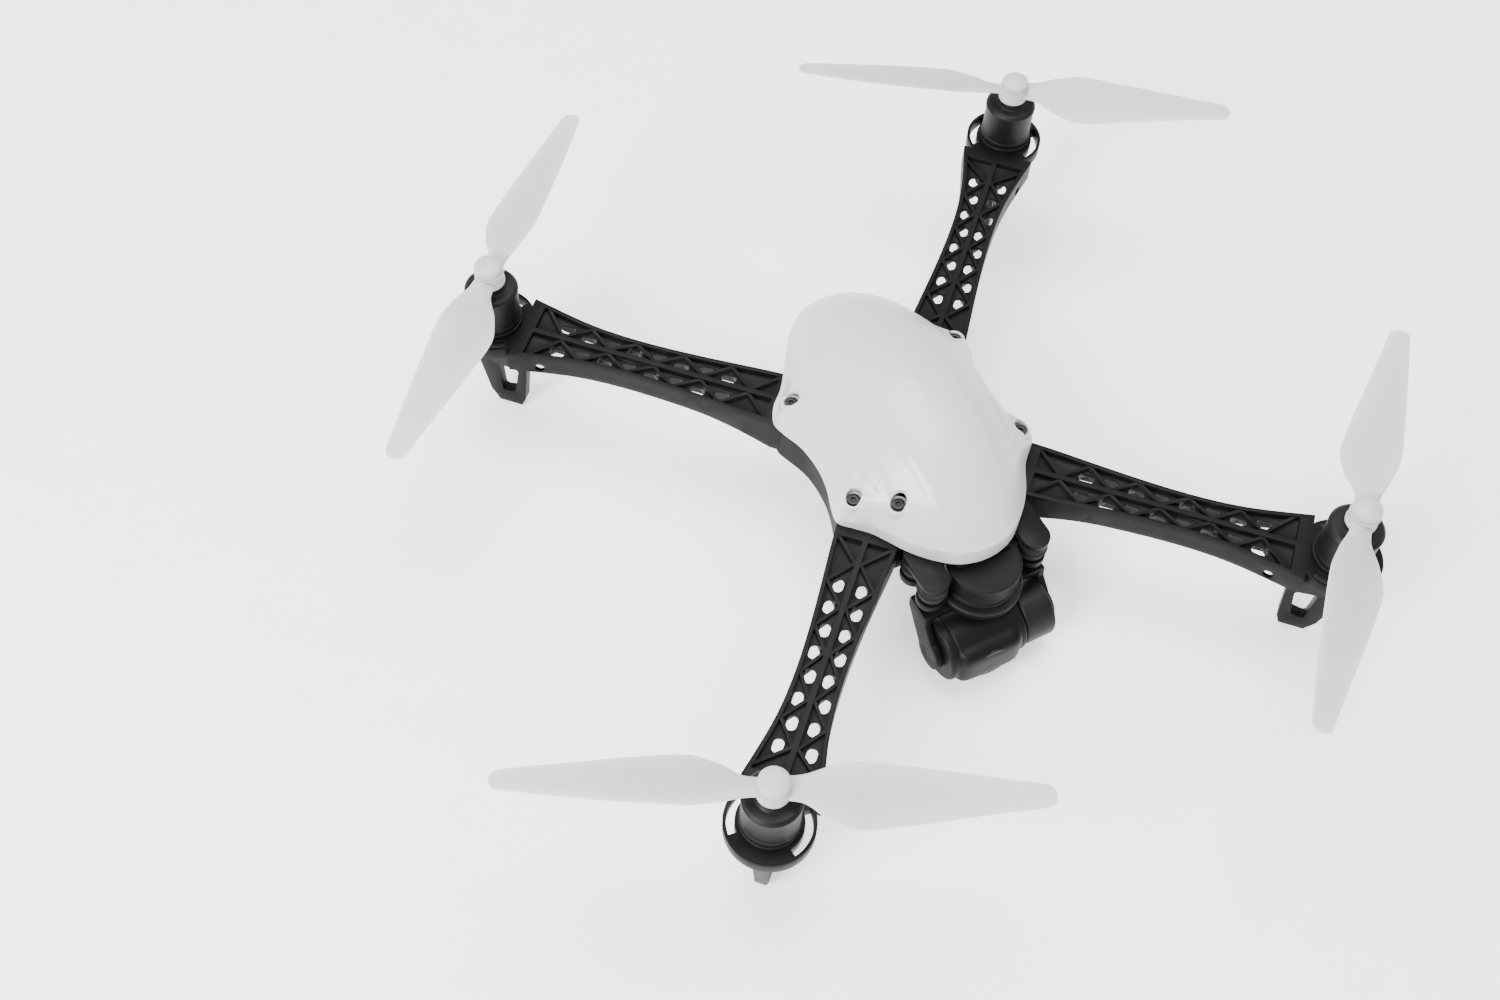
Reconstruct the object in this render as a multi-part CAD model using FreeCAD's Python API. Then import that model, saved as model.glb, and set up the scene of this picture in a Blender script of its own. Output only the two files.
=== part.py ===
import FreeCAD, Part
import math
import os

from FreeCAD import Placement, Rotation, Vector

os.makedirs("parts", exist_ok=True)

# Camera quadcopter. Millimetres, +Z up, the nose looks along -Y and the craft's left is +X.
# The origin is on the ground, on the vertical line through the middle of the four motors.

# Layout of the whole craft
wheelbase = 450.0                # diagonal from motor to motor
armTop = 68.0                    # flat top of the arms above the ground, and the seam of the canopy
propRise = 36.0                  # propeller plane above the arms
hullDepth = 25.0                 # from the seam down to the hull's underside
running = 0.05                   # radial clearance of a shaft in its bearing
bodyGap = 0.3                    # clearance between pieces that are not a fit

# Canopy
canopyHalfWidth = 50.5
canopyNose = 84.0
canopyTail = 89.5
domeHeight = 47.0                # crown of the canopy above its seam
canopyWall = 2.2
earReach = 57.5                  # ears over the arms, measured from the centre line
shoulderHeight = 22.0            # top of the ears above the seam

# Lower hull
hullInset = 3.0                  # hull wall inside the canopy's edge
hullWall = 2.2
hullFloor = 2.4
hullFront = 57.0                 # flat front of the hull, measured forward of the centre

# Arms
armRootStart = 51.0
armEndBack = 15.0                # the arm's plan ends this far short of the motor axis
# Arm widths: share of the way from the root to the end of the plan, half width
armHalfWidths = [(0.0, 16.0), (0.132, 15.9), (0.245, 14.6), (0.403, 12.7), (0.623, 11.6), (0.78, 13.2),
                 (0.912, 17.0), (1.0, 20.0)]
armDepth = 13.0                  # depth of an arm at mid length
rootDepth = 22.0                 # depth of an arm where the hull holds it
armWall = 2.2
armSkin = 2.0                    # skin between the shallow top pockets and the open underside
spineWidth = 2.8
pocketStart = 70.0
pocketDepth = 3.2                # depth of the pockets in the arm's top
pocketEndBack = 22.0             # pockets end this far short of the motor axis
underStart = 78.0                # the underside is open from here to the end of the pockets
ribPitch = 13.0                  # step of the zigzag ribs along the arm
ribThickness = 1.6
ribDrop = 0.6                    # ribs end this far below the arm's top
underRibDepth = 3.0              # and stand this far below the skin on the underside
slotRadius = 2.6                 # holes through the skin: round-ended slots along the arm
slotLength = 8.2
slotShift = 0.8                  # each slot sits this much towards the wide side of its cell
leadHoleBack = 31.0              # hole for the motor leads, short of the motor axis
leadHoleRadius = 2.6
ringRadius = 21.3                # motor pad at the end of the arm
ringThickness = 7.0

# Feet: distance outwards from the motor axis, height as a share of the leg
footThickness = 6.0
footOutline = [(-19.0, 1.0), (-17.0, 0.68), (-13.5, 0.1), (-11.0, 0.0), (2.0, 0.0), (6.5, 0.13),
               (12.5, 0.61), (21.0, 1.0)]
footWindow = [(0.5, 0.53), (-11.2, 0.5), (-8.0, 0.18), (-0.5, 0.145)]
footCorner = 2.0

# Motors
motorRadius = 14.0
motorBaseRadius = 14.5
motorBaseThickness = 3.0
bellHeight = 23.5
bellWall = 1.6
bellTopThickness = 2.4
bellSeatRadius = 6.0
magnetThickness = 1.5
airGap = 0.4
shaftRadius = 2.5
shaftLength = 38.0
toothCount = 12
statorHeight = 11.0
motorScrewCircle = 8.75          # radius of the circle of four screws

# Propellers
hubRadius = 7.8
hubHeight = 8.0
capRadius = 7.25
capHeight = 6.0
# Blade stations: radius, chord, pitch in degrees, thickness, how far the middle trails the radius
bladeStations = [(5.0, 10.5, 14.0, 3.4, 0.0), (12.0, 12.0, 16.0, 3.2, 0.0), (24.0, 22.5, 18.0, 2.6, 1.6),
                 (38.0, 29.0, 18.0, 2.0, 2.6), (60.0, 25.0, 15.0, 1.6, 2.0), (85.0, 18.8, 11.5, 1.3, 1.0),
                 (106.0, 13.4, 9.0, 1.1, 0.4), (118.0, 10.4, 8.0, 1.0, 0.1), (122.0, 7.4, 8.0, 0.8, 0.0)]
restAngles = {"front_right": 152.0, "front_left": 43.0, "rear_left": 146.5, "rear_right": 45.5}

# Screws
canopyScrewReach = 57.3          # distance of the canopy's screws along the arms
canopyScrewSide = 11.0           # and to the side of each arm's middle
canopyScrewHeadRadius = 3.0
canopyScrewHeadHeight = 2.4
canopyScrewGrip = 10.0           # they end this far below the arm's top
canopyWellRadius = 3.7
canopyWellDepth = 6.0
smallShankRadius = 1.45
smallHoleRadius = 1.6
smallHeadRadius = 2.7
smallHeadHeight = 1.8
rootScrewReach = 60.0            # screws that hold the arms to the hull
rootScrewSide = 6.0
rootScrewGrip = 10.0

# Battery and its bay
batteryWidth = 44.0
batteryHeight = 20.6
batteryLength = 118.0
batteryFront = -38.0
bayClearance = 0.4
railThickness = 1.8
buttonRadius = 4.0

# Deck and electronics over the battery
deckThickness = 1.5
deckHalfWidth = 30.0
deckFront = -38.0
deckRear = 62.0
boardsY = 5.0                    # middle of the two stacked boards
boardThickness = 1.6
powerBoardSize = 46.0
flightBoardWidth = 44.0
flightBoardLength = 46.0
lowerStandoff = 6.0
upperStandoff = 12.0
standoffRadius = 2.5
standoffSpacing = 38.0
controllerSize = (12.0, 20.0, 5.0)
controllerX = 20.0
controllerRows = [-27.0, 43.0]
receiverSize = (24.0, 16.8, 6.0)
receiverY = -28.6
antennaSize = 28.0
antennaHeight = 8.0

# Gimbal
panAxisY = -82.0
damperX = 29.0
frontDamperY = -82.5
rearDamperY = -66.5
damperRadius = 7.5
prongHalfWidth = 3.3
panTongueHalfWidth = 15.0        # tongue of the floating plate over the pan motor
forkThickness = 4.0
forkScrewSpots = [-17.0, -6.0, 6.0, 17.0]
forkScrewY = -49.0
damperHeight = 12.0
floatingPlateThickness = 3.5
floatingPlateDrop = 0.5          # top of the floating plate below the seam
panHousingRadius = 19.2
panRotorRadius = 22.0
panRotorThickness = 4.4
panGap = 0.4
yokeBeamThickness = 4.0
yokeBeamWidth = 15.0
tiltAxisY = -97.0
cameraRadius = 17.0
cameraRight = -30.5              # outer face of the camera's right-hand disc
cameraLeft = 14.0                # where the camera ends and the tilt motor begins
yokeLegThickness = 3.5
tiltMotorRadius = 16.0
lensBlockFront = -116.5
lensBlockHalfHeight = 13.5
cameraClearance = 1.2            # between the camera and the yoke's beam
lensX = -8.0                     # the lens sits right of the craft's middle
lensRadius = 9.5

corners = {"front_right": (-1, -1), "front_left": (1, -1), "rear_left": (1, 1), "rear_right": (-1, 1)}
motorOffset = wheelbase / 2 / math.sqrt(2)
armReach = wheelbase / 2
armBottom = armTop - armDepth
armEnd = armReach - armEndBack
pocketEnd = armReach - pocketEndBack
padBottom = armTop - ringThickness
legHeight = padBottom + 1.0
seam = armTop
hullBottom = seam - hullDepth
clearAbove = seam + 72.0         # higher than anything on the craft
propHeight = armTop + propRise
ventRadius = 0.157 * motorRadius
ventCircle = 0.63 * motorRadius
canopyScrewEnd = armTop - canopyScrewGrip
rootScrewTop = armTop - rootDepth + rootScrewGrip
forkBottom = seam - floatingPlateDrop - floatingPlateThickness - damperHeight - forkThickness
forkTop = forkBottom + forkThickness
panBottom = forkBottom - 0.5
yokeTop = panBottom - panGap - panRotorThickness
tiltAxisZ = yokeTop - yokeBeamThickness - cameraClearance - cameraRadius


def save(shape, name):
    if shape.ShapeType == "Compound" and len(shape.Solids) == 1:
        shape = shape.Solids[0]
    shape.exportStep("parts/" + name + ".step")


def box(x0, x1, y0, y1, z0, z1):
    return Part.makeBox(x1 - x0, y1 - y0, z1 - z0, Vector(x0, y0, z0))


def disc(radius, z0, z1, x=0.0, y=0.0):
    return Part.makeCylinder(radius, z1 - z0, Vector(x, y, z0))


def crossDisc(radius, x0, x1, y, z):
    return Part.makeCylinder(radius, x1 - x0, Vector(x0, y, z), Vector(1, 0, 0))


def fuseAll(shapes):
    return shapes[0].multiFuse(shapes[1:]).removeSplitter()


def cutAll(shape, tools):
    return shape.cut(Part.makeCompound(tools)) if tools else shape


def smoothFace(points, z):
    curve = Part.BSplineCurve()
    curve.interpolate(Points=[Vector(x, y, z) for x, y in points], PeriodicFlag=True)
    return Part.Face(Part.Wire(curve.toShape()))


def polygonFace(points):
    return Part.Face(Part.makePolygon([Vector(*p) for p in points + points[:1]]))


def roundedBox(x0, x1, y0, y1, z0, z1, radius):
    solid = box(x0, x1, y0, y1, z0, z1)
    upright = [e for e in solid.Edges if abs(e.tangentAt(e.FirstParameter).z) > 0.99]
    return solid.makeFillet(radius, upright)


def placeOnArm(shape, corner):
    side, end = corners[corner]
    angle = math.degrees(math.atan2(end, side))
    copy = shape.copy()
    copy.Placement = Placement(Vector(0, 0, 0), Rotation(Vector(0, 0, 1), angle)).multiply(copy.Placement)
    return copy


def placeOnMotor(shape, corner, turn=0.0):
    side, end = corners[corner]
    copy = shape.copy()
    place = Placement(Vector(side * motorOffset, end * motorOffset, 0), Rotation(Vector(0, 0, 1), turn))
    copy.Placement = place.multiply(copy.Placement)
    return copy


def canopyOutline(inset=0.0):
    # half of the plan, from the nose to the tail, mirrored for the other side
    wide = canopyHalfWidth
    nose = canopyNose
    tail = canopyTail
    ear = earReach
    half = [(0.0, -nose), (14.0, 3.0 - nose), (25.0, 11.0 - nose), (33.5, 20.5 - nose), (39.5, 30.0 - nose),
            (44.5, -46.5), (50.5, -40.5), (ear - 1.0, -34.0), (ear - 1.7, -26.0), (wide + 1.2, -13.0),
            (wide - 0.3, 0.0), (wide + 1.0, 14.0), (ear - 1.9, 25.5), (ear - 0.3, 34.0), (ear - 4.2, 41.5),
            (45.8, 48.5), (39.2, tail - 32.0), (32.6, tail - 22.5), (24.5, tail - 12.0), (13.5, tail - 3.2),
            (0.0, tail)]
    ring = half + [(-x, y) for x, y in reversed(half[1:-1])]
    return smoothFace(insetRing(ring, inset), 0.0)


def insetRing(ring, inset):
    # each point moves inwards, square to the line between its two neighbours
    moved = []
    for (xa, ya), (x, y), (xb, yb) in zip(ring[-1:] + ring[:-1], ring, ring[1:] + ring[:1]):
        length = math.hypot(xb - xa, yb - ya)
        moved.append((x - inset * (yb - ya) / length, y + inset * (xb - xa) / length))
    return moved


def canopyHeight(x, y):
    # superellipsoid dome, joined by a smooth maximum to four shoulders over the arms
    reach = math.hypot(x / canopyHalfWidth, y / (canopyNose if y < 0 else canopyTail))
    fall = 1.0 - reach ** 2.3
    dome = domeHeight * math.sqrt(0.5 * (fall + math.sqrt(fall * fall + 0.012))) * 0.995
    along = (abs(x) + abs(y)) / math.sqrt(2)
    across = (abs(x) - abs(y)) / math.sqrt(2)
    shoulder = shoulderHeight - 0.45 * (along - 52.0) - 9.0 * (across / 19.0) ** 4
    shoulder -= 0.2 * max(along - 57.0, 0.0) ** 2
    shoulder = max(shoulder, 2.0)
    blend = 3.5
    mean = 0.5 * (dome + shoulder)
    half = 0.5 * (dome - shoulder)
    return seam + mean + math.sqrt(half * half + blend * blend) - 0.35 * blend


def canopyUnder(drop, base):
    # solid between the base plane and the canopy's surface lowered by drop
    xs = [-66.0 + 4.4 * i for i in range(31)]
    ys = [-99.0 + 5.5 * i for i in range(37)]
    grid = [[Vector(x, y, canopyHeight(x, y) - drop) for y in ys] for x in xs]
    surface = Part.BSplineSurface()
    surface.interpolate(grid)
    sheet = surface.toShape()
    return sheet.extrude(Vector(0, 0, base - 220.0)), sheet


def canopyScrewSpots():
    # one on the outer side of every arm, and a second one on the front right arm
    wide = (canopyScrewReach + canopyScrewSide) / math.sqrt(2)
    narrow = (canopyScrewReach - canopyScrewSide) / math.sqrt(2)
    plan = [(side * wide, end * narrow) for side, end in corners.values()] + [(-narrow, -wide)]
    return [(x, y, canopyHeight(x, y) - canopyWellDepth) for x, y in plan]


def canopy():
    outline = canopyOutline()
    outer = outline.copy()
    outer.translate(Vector(0, 0, seam))
    prism = outer.extrude(Vector(0, 0, 80.0))
    block, sheet = canopyUnder(0.0, seam)
    shell = prism.common(block)
    inner = canopyOutline(canopyWall)
    inner.translate(Vector(0, 0, seam - 1.0))
    hollow = inner.extrude(Vector(0, 0, 80.0)).common(canopyUnder(canopyWall * 1.1, seam)[0])
    shell = shell.cut(hollow)
    spots = canopyScrewSpots()
    solidDome = prism.common(block)
    posts = [disc(canopyWellRadius + 1.6, seam, clearAbove, x, y).common(solidDome) for x, y, seat in spots]
    shell = fuseAll([shell] + posts)
    wells = [disc(canopyWellRadius, seat, clearAbove, x, y) for x, y, seat in spots]
    holes = [disc(smallHoleRadius, seam - 1.0, seat + 1.0, x, y) for x, y, seat in spots]
    return cutAll(shell, wells + holes)


def canopyScrews():
    screws = []
    for x, y, seat in canopyScrewSpots():
        top = seat + canopyScrewHeadHeight
        head = disc(canopyScrewHeadRadius, seat, top, x, y)
        socket = disc(1.3, top - 1.4, top + 1.0, x, y)
        shank = disc(smallShankRadius, canopyScrewEnd, seat, x, y)
        screws.append(head.fuse(shank).removeSplitter().cut(socket))
    return Part.makeCompound(screws)


def armSide(shift, drop=0.0):
    # side view of the arm's underside, from the root to the motor pad
    low = armBottom + shift
    root = armTop - rootDepth + shift
    top = armTop + drop
    curve = Part.BSplineCurve()
    curve.interpolate([Vector(66, 0, root), Vector(76, 0, root + 3.6), Vector(92, 0, low - 1.6),
                       Vector(112, 0, low)])
    edges = [Part.makeLine(Vector(armRootStart, 0, top), Vector(armRootStart, 0, root)),
             Part.makeLine(Vector(armRootStart, 0, root), Vector(66, 0, root)),
             curve.toShape(),
             Part.makeLine(Vector(112, 0, low), Vector(armReach, 0, low)),
             Part.makeLine(Vector(armReach, 0, low), Vector(armReach, 0, top)),
             Part.makeLine(Vector(armReach, 0, top), Vector(armRootStart, 0, top))]
    face = Part.Face(Part.Wire(edges))
    face.translate(Vector(0, -30, 0))
    return face.extrude(Vector(0, 60, 0))


def armStations():
    return [(armRootStart + share * (armEnd - armRootStart), half) for share, half in armHalfWidths]


def armPlan(inset, start, end, z0, z1):
    # plan of the arm between two radii, narrowed by inset on both sides
    curve = Part.BSplineCurve()
    stations = armStations()
    curve.interpolate([Vector(r, half - inset, z0) for r, half in stations])
    upper = curve.toShape()
    lower = upper.mirror(Vector(0, 0, 0), Vector(0, 1, 0))
    r0, half0 = stations[0]
    r1, half1 = stations[-1]
    ends = [Part.makeLine(Vector(r0, -(half0 - inset), z0), Vector(r0, half0 - inset, z0)),
            Part.makeLine(Vector(r1, half1 - inset, z0), Vector(r1, -(half1 - inset), z0))]
    face = Part.Face(Part.Wire(Part.__sortEdges__([upper, lower] + ends)))
    prism = face.extrude(Vector(0, 0, z1 - z0))
    return prism.common(box(start, end, -30, 30, z0 - 1, z1 + 1))


def halfWidthAt(radius):
    stations = armStations()
    for (r0, w0), (r1, w1) in zip(stations, stations[1:]):
        if r0 <= radius <= r1:
            return w0 + (w1 - w0) * (radius - r0) / (r1 - r0)
    return stations[-1][1]


def armPocket(start, z0, z1):
    # space between the side walls and the spine
    plan = armPlan(armWall, start, pocketEnd, z0, z1)
    return plan.cut(box(armRootStart, armReach, -spineWidth / 2, spineWidth / 2, z0 - 1, z1 + 1))


def armRibs(pocket, z0, z1):
    # zigzag from the spine to the wall and back
    ribs = []
    steps = int((pocketEnd - pocketStart) / ribPitch)
    for side in (-1, 1):
        for k in range(steps):
            r0 = pocketStart + k * ribPitch
            r1 = r0 + ribPitch
            w0, w1 = [side * (spineWidth / 2 if (k + j) % 2 else halfWidthAt(r) - armWall)
                      for j, r in enumerate((r0, r1))]
            length = math.hypot(r1 - r0, w1 - w0) + 3.0
            rib = box(-1.5, length - 1.5, -ribThickness / 2, ribThickness / 2, z0, z1)
            rib.rotate(Vector(0, 0, 0), Vector(0, 0, 1), math.degrees(math.atan2(w1 - w0, r1 - r0)))
            rib.translate(Vector(r0, w0, 0))
            ribs.append(rib)
    return [solid for rib in ribs for solid in rib.common(pocket).Solids]


def skinSlots():
    # one slot in each cell of the zigzag that lies clear of the hull
    slots = []
    z0 = armTop - pocketDepth - armSkin - 0.5
    z1 = armTop - pocketDepth + 0.5
    reach = slotLength / 2 - slotRadius
    steps = int((pocketEnd - slotLength / 2 - pocketStart) / ribPitch)
    for side in (-1, 1):
        for k in range(2, steps + 1):
            radius = pocketStart + k * ribPitch
            middle = (halfWidthAt(radius) - armWall + spineWidth / 2) / 2
            w = side * (middle + slotShift * (1 if k % 2 else -1))
            slot = box(radius - reach, radius + reach, w - slotRadius, w + slotRadius, z0, z1)
            ends = [disc(slotRadius, z0, z1, radius + e, w) for e in (-reach, reach)]
            slots.append(fuseAll([slot] + ends))
    return slots


def padSlots():
    slots = []
    inner = motorBaseRadius + 1.4
    outer = ringRadius - 1.6
    for side in (90.0, 270.0):
        ring = disc(outer, 50, armTop + 5, armReach, 0).cut(disc(inner, 50, armTop + 5, armReach, 0))
        wedge = Part.makeCylinder(ringRadius + 5, 30, Vector(armReach, 0, 48), Vector(0, 0, 1), 76.0)
        wedge.rotate(Vector(armReach, 0, 0), Vector(0, 0, 1), side - 38.0)
        slots.append(ring.common(wedge))
    return slots


def foot():
    half = footThickness / 2
    outline = polygonFace([(armReach + out, -half, share * legHeight) for out, share in footOutline])
    window = polygonFace([(armReach + out, -half, share * legHeight) for out, share in footWindow])
    plate = outline.extrude(Vector(0, footThickness, 0))
    opening = window.extrude(Vector(0, footThickness, 0))
    across = [e for e in opening.Edges if abs(e.tangentAt(e.FirstParameter).y) > 0.99]
    return plate.cut(opening.makeFillet(footCorner, across))


def motorScrewSpots():
    angles = [math.radians(a) for a in (45, 135, 225, 315)]
    return [(motorScrewCircle * math.cos(a), motorScrewCircle * math.sin(a)) for a in angles]


def rootScrewSpots():
    return [(rootScrewReach, -rootScrewSide), (rootScrewReach, rootScrewSide)]


def arm():
    skinTop = armTop - pocketDepth
    skinBottom = skinTop - armSkin
    body = armPlan(0.0, armRootStart, armEnd, armBottom - 12.0, armTop).common(armSide(0.0))
    pad = disc(ringRadius, padBottom, armTop, armReach, 0)
    above = armPocket(pocketStart, skinTop, armTop + 5.0)
    below = armPocket(underStart, armTop - rootDepth - 5.0, skinBottom)
    body = fuseAll([body, pad, foot()])
    body = cutAll(body, above.Solids + below.Solids)
    ribs = armRibs(above, skinTop, armTop - ribDrop) + armRibs(below, skinBottom - underRibDepth, skinBottom)
    body = fuseAll([body] + ribs)
    screwHoles = [disc(smallHoleRadius, padBottom - 1, armTop + 1, armReach + x, y)
                  for x, y in motorScrewSpots()]
    headRoom = [disc(smallHeadRadius + bodyGap, padBottom - smallHeadHeight - bodyGap, padBottom,
                     armReach + x, y) for x, y in motorScrewSpots()]
    centre = disc(4.0, padBottom - 1, armTop + 1, armReach, 0)
    leadStart = Vector(armReach - leadHoleBack, -30, armTop - 9.0)
    lead = Part.makeCylinder(leadHoleRadius, 60, leadStart, Vector(0, 1, 0))
    rootHoles = [disc(smallShankRadius + running, armTop - rootDepth - 5, rootScrewTop + 2, r, w)
                 for r, w in rootScrewSpots()]
    return cutAll(body, skinSlots() + padSlots() + screwHoles + headRoom + [centre, lead] + rootHoles)


def canopyScrewHoles():
    return [disc(smallShankRadius + running, canopyScrewEnd - 1.0, armTop + 2.0, x, y)
            for x, y, seat in canopyScrewSpots()]


def rootScrews():
    screws = []
    for corner in corners:
        for r, w in rootScrewSpots():
            head = disc(smallHeadRadius, hullBottom - smallHeadHeight, hullBottom, r, w)
            shank = disc(smallShankRadius, hullBottom, rootScrewTop, r, w)
            screws.append(placeOnArm(head.fuse(shank).removeSplitter(), corner))
    return Part.makeCompound(screws)


def statorBase():
    base = disc(motorBaseRadius, armTop, armTop + motorBaseThickness)
    hub = disc(shaftRadius + 1.6, armTop, armTop + motorBaseThickness + statorHeight + 3.0)
    bore = disc(shaftRadius + running, armTop - 1, armTop + 40)
    holes = [disc(smallShankRadius + running, armTop - 1, armTop + motorBaseThickness + 1, x, y)
             for x, y in motorScrewSpots()]
    return cutAll(fuseAll([base, hub]), [bore] + holes)


def statorCore():
    z0 = armTop + motorBaseThickness + 3.0
    outer = motorRadius - bellWall - magnetThickness - airGap
    core = disc(6.4, z0, z0 + statorHeight)
    teeth = []
    for k in range(toothCount):
        tooth = box(5.5, outer - 1.2, -1.0, 1.0, z0, z0 + statorHeight)
        shoe = disc(outer, z0, z0 + statorHeight).cut(disc(outer - 1.4, z0 - 1, z0 + statorHeight + 1))
        shoe = shoe.common(box(0, outer + 1, -2.2, 2.2, z0, z0 + statorHeight))
        tooth = tooth.fuse(shoe)
        tooth.rotate(Vector(0, 0, 0), Vector(0, 0, 1), 360.0 * k / toothCount)
        teeth.append(tooth)
    core = fuseAll([core] + teeth)
    return core.cut(disc(shaftRadius + 1.6, z0 - 1, z0 + statorHeight + 1))


def bell():
    z0 = armTop + motorBaseThickness + 0.5
    z1 = z0 + bellHeight
    cup = disc(motorRadius, z0, z1).cut(disc(motorRadius - bellWall, z0 - 1, z1 - bellTopThickness))
    rim = [e for e in cup.Edges if abs(e.BoundBox.ZMin - z1) < 1e-6 and e.BoundBox.XLength > 20]
    cup = cup.makeFillet(1.5, rim)
    vents = []
    for k in range(6):
        vent = disc(ventRadius, z1 - 6, z1 + 2, ventCircle, 0)
        vent.rotate(Vector(0, 0, 0), Vector(0, 0, 1), 60.0 * k)
        vents.append(vent)
    seat = disc(bellSeatRadius, z1 - 0.1, propHeight - 5.0)
    shaft = disc(shaftRadius, armTop + 0.6, armTop + 0.6 + shaftLength)
    return cutAll(fuseAll([cup, seat, shaft]), vents)


def magnets():
    z0 = armTop + motorBaseThickness + 2.5
    outer = motorRadius - bellWall
    ring = disc(outer, z0, z0 + 13.0).cut(disc(outer - magnetThickness, z0 - 1, z0 + 14.0))
    gaps = []
    for k in range(14):
        gap = box(outer - 3, outer + 1, -0.3, 0.3, z0 - 1, z0 + 14)
        gap.rotate(Vector(0, 0, 0), Vector(0, 0, 1), 360.0 * k / 14)
        gaps.append(gap)
    return cutAll(ring, gaps)


def bladeSection(station, turn):
    # lens-shaped section: leading edge high, flatter underneath; turn is +1 for a propeller turning
    # anticlockwise seen from above and -1 for its mirror image
    radius, chord, pitch, thick, trail = station
    slope = math.radians(pitch)
    points = []
    for along, up in ((0.5, 0.0), (0.08, 0.62), (-0.5, 0.0), (0.05, -0.38)):
        a = along * chord
        u = up * thick
        points.append(Vector(radius, turn * (a * math.cos(slope) - u * math.sin(slope) - trail),
                             a * math.sin(slope) + u * math.cos(slope)))
    over = Part.Arc(points[0], points[1], points[2]).toShape()
    under = Part.Arc(points[2], points[3], points[0]).toShape()
    return Part.Wire([over, under])


def propeller(turn):
    blade = Part.makeLoft([bladeSection(s, turn) for s in bladeStations], True, False)
    other = blade.copy()
    other.rotate(Vector(0, 0, 0), Vector(0, 0, 1), 180)
    hub = disc(hubRadius, -5.0, hubHeight - 5.0)
    whole = fuseAll([hub, blade, other])
    whole = whole.cut(disc(shaftRadius + running, -10, 10))
    whole.translate(Vector(0, 0, propHeight))
    return whole


def propCap():
    z0 = propHeight + hubHeight - 5.0
    skirt = disc(capRadius, z0, z0 + capHeight - 2.5)
    rise = 2.5
    sphere = (capRadius ** 2 + rise ** 2) / (2 * rise)
    dome = Part.makeSphere(sphere, Vector(0, 0, z0 + capHeight - sphere))
    dome = dome.common(disc(capRadius, z0 + capHeight - 2.5, z0 + capHeight + 1))
    return fuseAll([skirt, dome]).cut(disc(shaftRadius + running, z0 - 1, armTop + 0.7 + shaftLength))


def motorScrews():
    screws = []
    for corner in corners:
        for x, y in motorScrewSpots():
            head = disc(smallHeadRadius, padBottom - smallHeadHeight, padBottom, x, y)
            shank = disc(smallShankRadius, padBottom, armTop + motorBaseThickness - 0.4, x, y)
            screws.append(placeOnMotor(head.fuse(shank).removeSplitter(), corner, 45.0))
    return Part.makeCompound(screws)


def hullPlan(inset, z0, z1):
    face = canopyOutline(hullInset + inset)
    face.translate(Vector(0, 0, z0))
    prism = face.extrude(Vector(0, 0, z1 - z0))
    return prism.common(box(-80, 80, -hullFront + inset, 120, z0, z1))


def bayHalf():
    return batteryWidth / 2 + bayClearance


def armRootSpace():
    tools = []
    for corner in corners:
        tool = armPlan(-bodyGap, armRootStart - bodyGap, 80.0, armTop - rootDepth, seam + 5)
        tools.append(placeOnArm(tool, corner))
    return tools


def hull():
    outer = hullPlan(0.0, hullBottom, seam)
    inner = hullPlan(hullWall, hullBottom + hullFloor, seam + 1)
    shell = outer.cut(inner)
    half = bayHalf()
    rails = [box(side * half if side > 0 else -half - railThickness,
                 side * half + railThickness if side > 0 else -half,
                 batteryFront - 2.0, canopyTail, hullBottom + hullFloor - 0.5, seam) for side in (-1, 1)]
    rails = [rail.common(outer) for rail in rails]
    stop = box(-half, half, batteryFront - 2.0, batteryFront - 0.5, hullBottom + hullFloor - 0.5, seam - 6.0)
    ledge = box(-23, 23, -hullFront + 0.5, -43.5, hullBottom + 0.5, forkBottom)
    pads = [placeOnArm(disc(5.0, hullBottom + 0.5, armTop - rootDepth, r, w), corner)
            for corner in corners for r, w in rootScrewSpots()]
    shell = fuseAll([shell, stop, ledge] + rails + pads)
    rearMouth = box(-half, half, 60, 120, hullBottom + hullFloor, seam + 1)
    notch = box(-32.7, 32.7, -hullFront - 1, -hullFront + 13.5, forkBottom, seam + 1)
    screwHoles = [placeOnArm(disc(smallHoleRadius, hullBottom - 1, rootScrewTop, r, w), corner)
                  for corner in corners for r, w in rootScrewSpots()]
    forkHoles = [disc(smallShankRadius + running, hullBottom - 1, forkTop, x, forkScrewY)
                 for x in forkScrewSpots]
    return cutAll(shell, armRootSpace() + [rearMouth, notch] + screwHoles + forkHoles)


def battery():
    low = hullBottom + hullFloor + bayClearance / 2
    half = batteryWidth / 2
    back = batteryFront + batteryLength
    pack = box(-half, half, batteryFront, back - 8.0, low, low + batteryHeight)
    edges = [e for e in pack.Edges if abs(e.tangentAt(e.FirstParameter).y) > 0.99]
    return pack.makeFillet(2.0, edges)


def batteryCap():
    low = hullBottom + hullFloor + bayClearance / 2
    half = batteryWidth / 2
    back = batteryFront + batteryLength
    cap = box(-half, half, back - 8.0, back, low, low + batteryHeight)
    edges = [e for e in cap.Edges if abs(e.tangentAt(e.FirstParameter).y) > 0.99]
    cap = cap.makeFillet(2.0, edges)
    middle = low + batteryHeight / 2
    well = Part.makeCylinder(buttonRadius + 0.25, 6.0, Vector(-10.0, back - 5.0, middle), Vector(0, 1, 0))
    grip = box(2.0, 16.0, back - 3.0, back + 1, middle - 3.0, middle + 3.0)
    return cutAll(cap, [well, grip])


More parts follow.
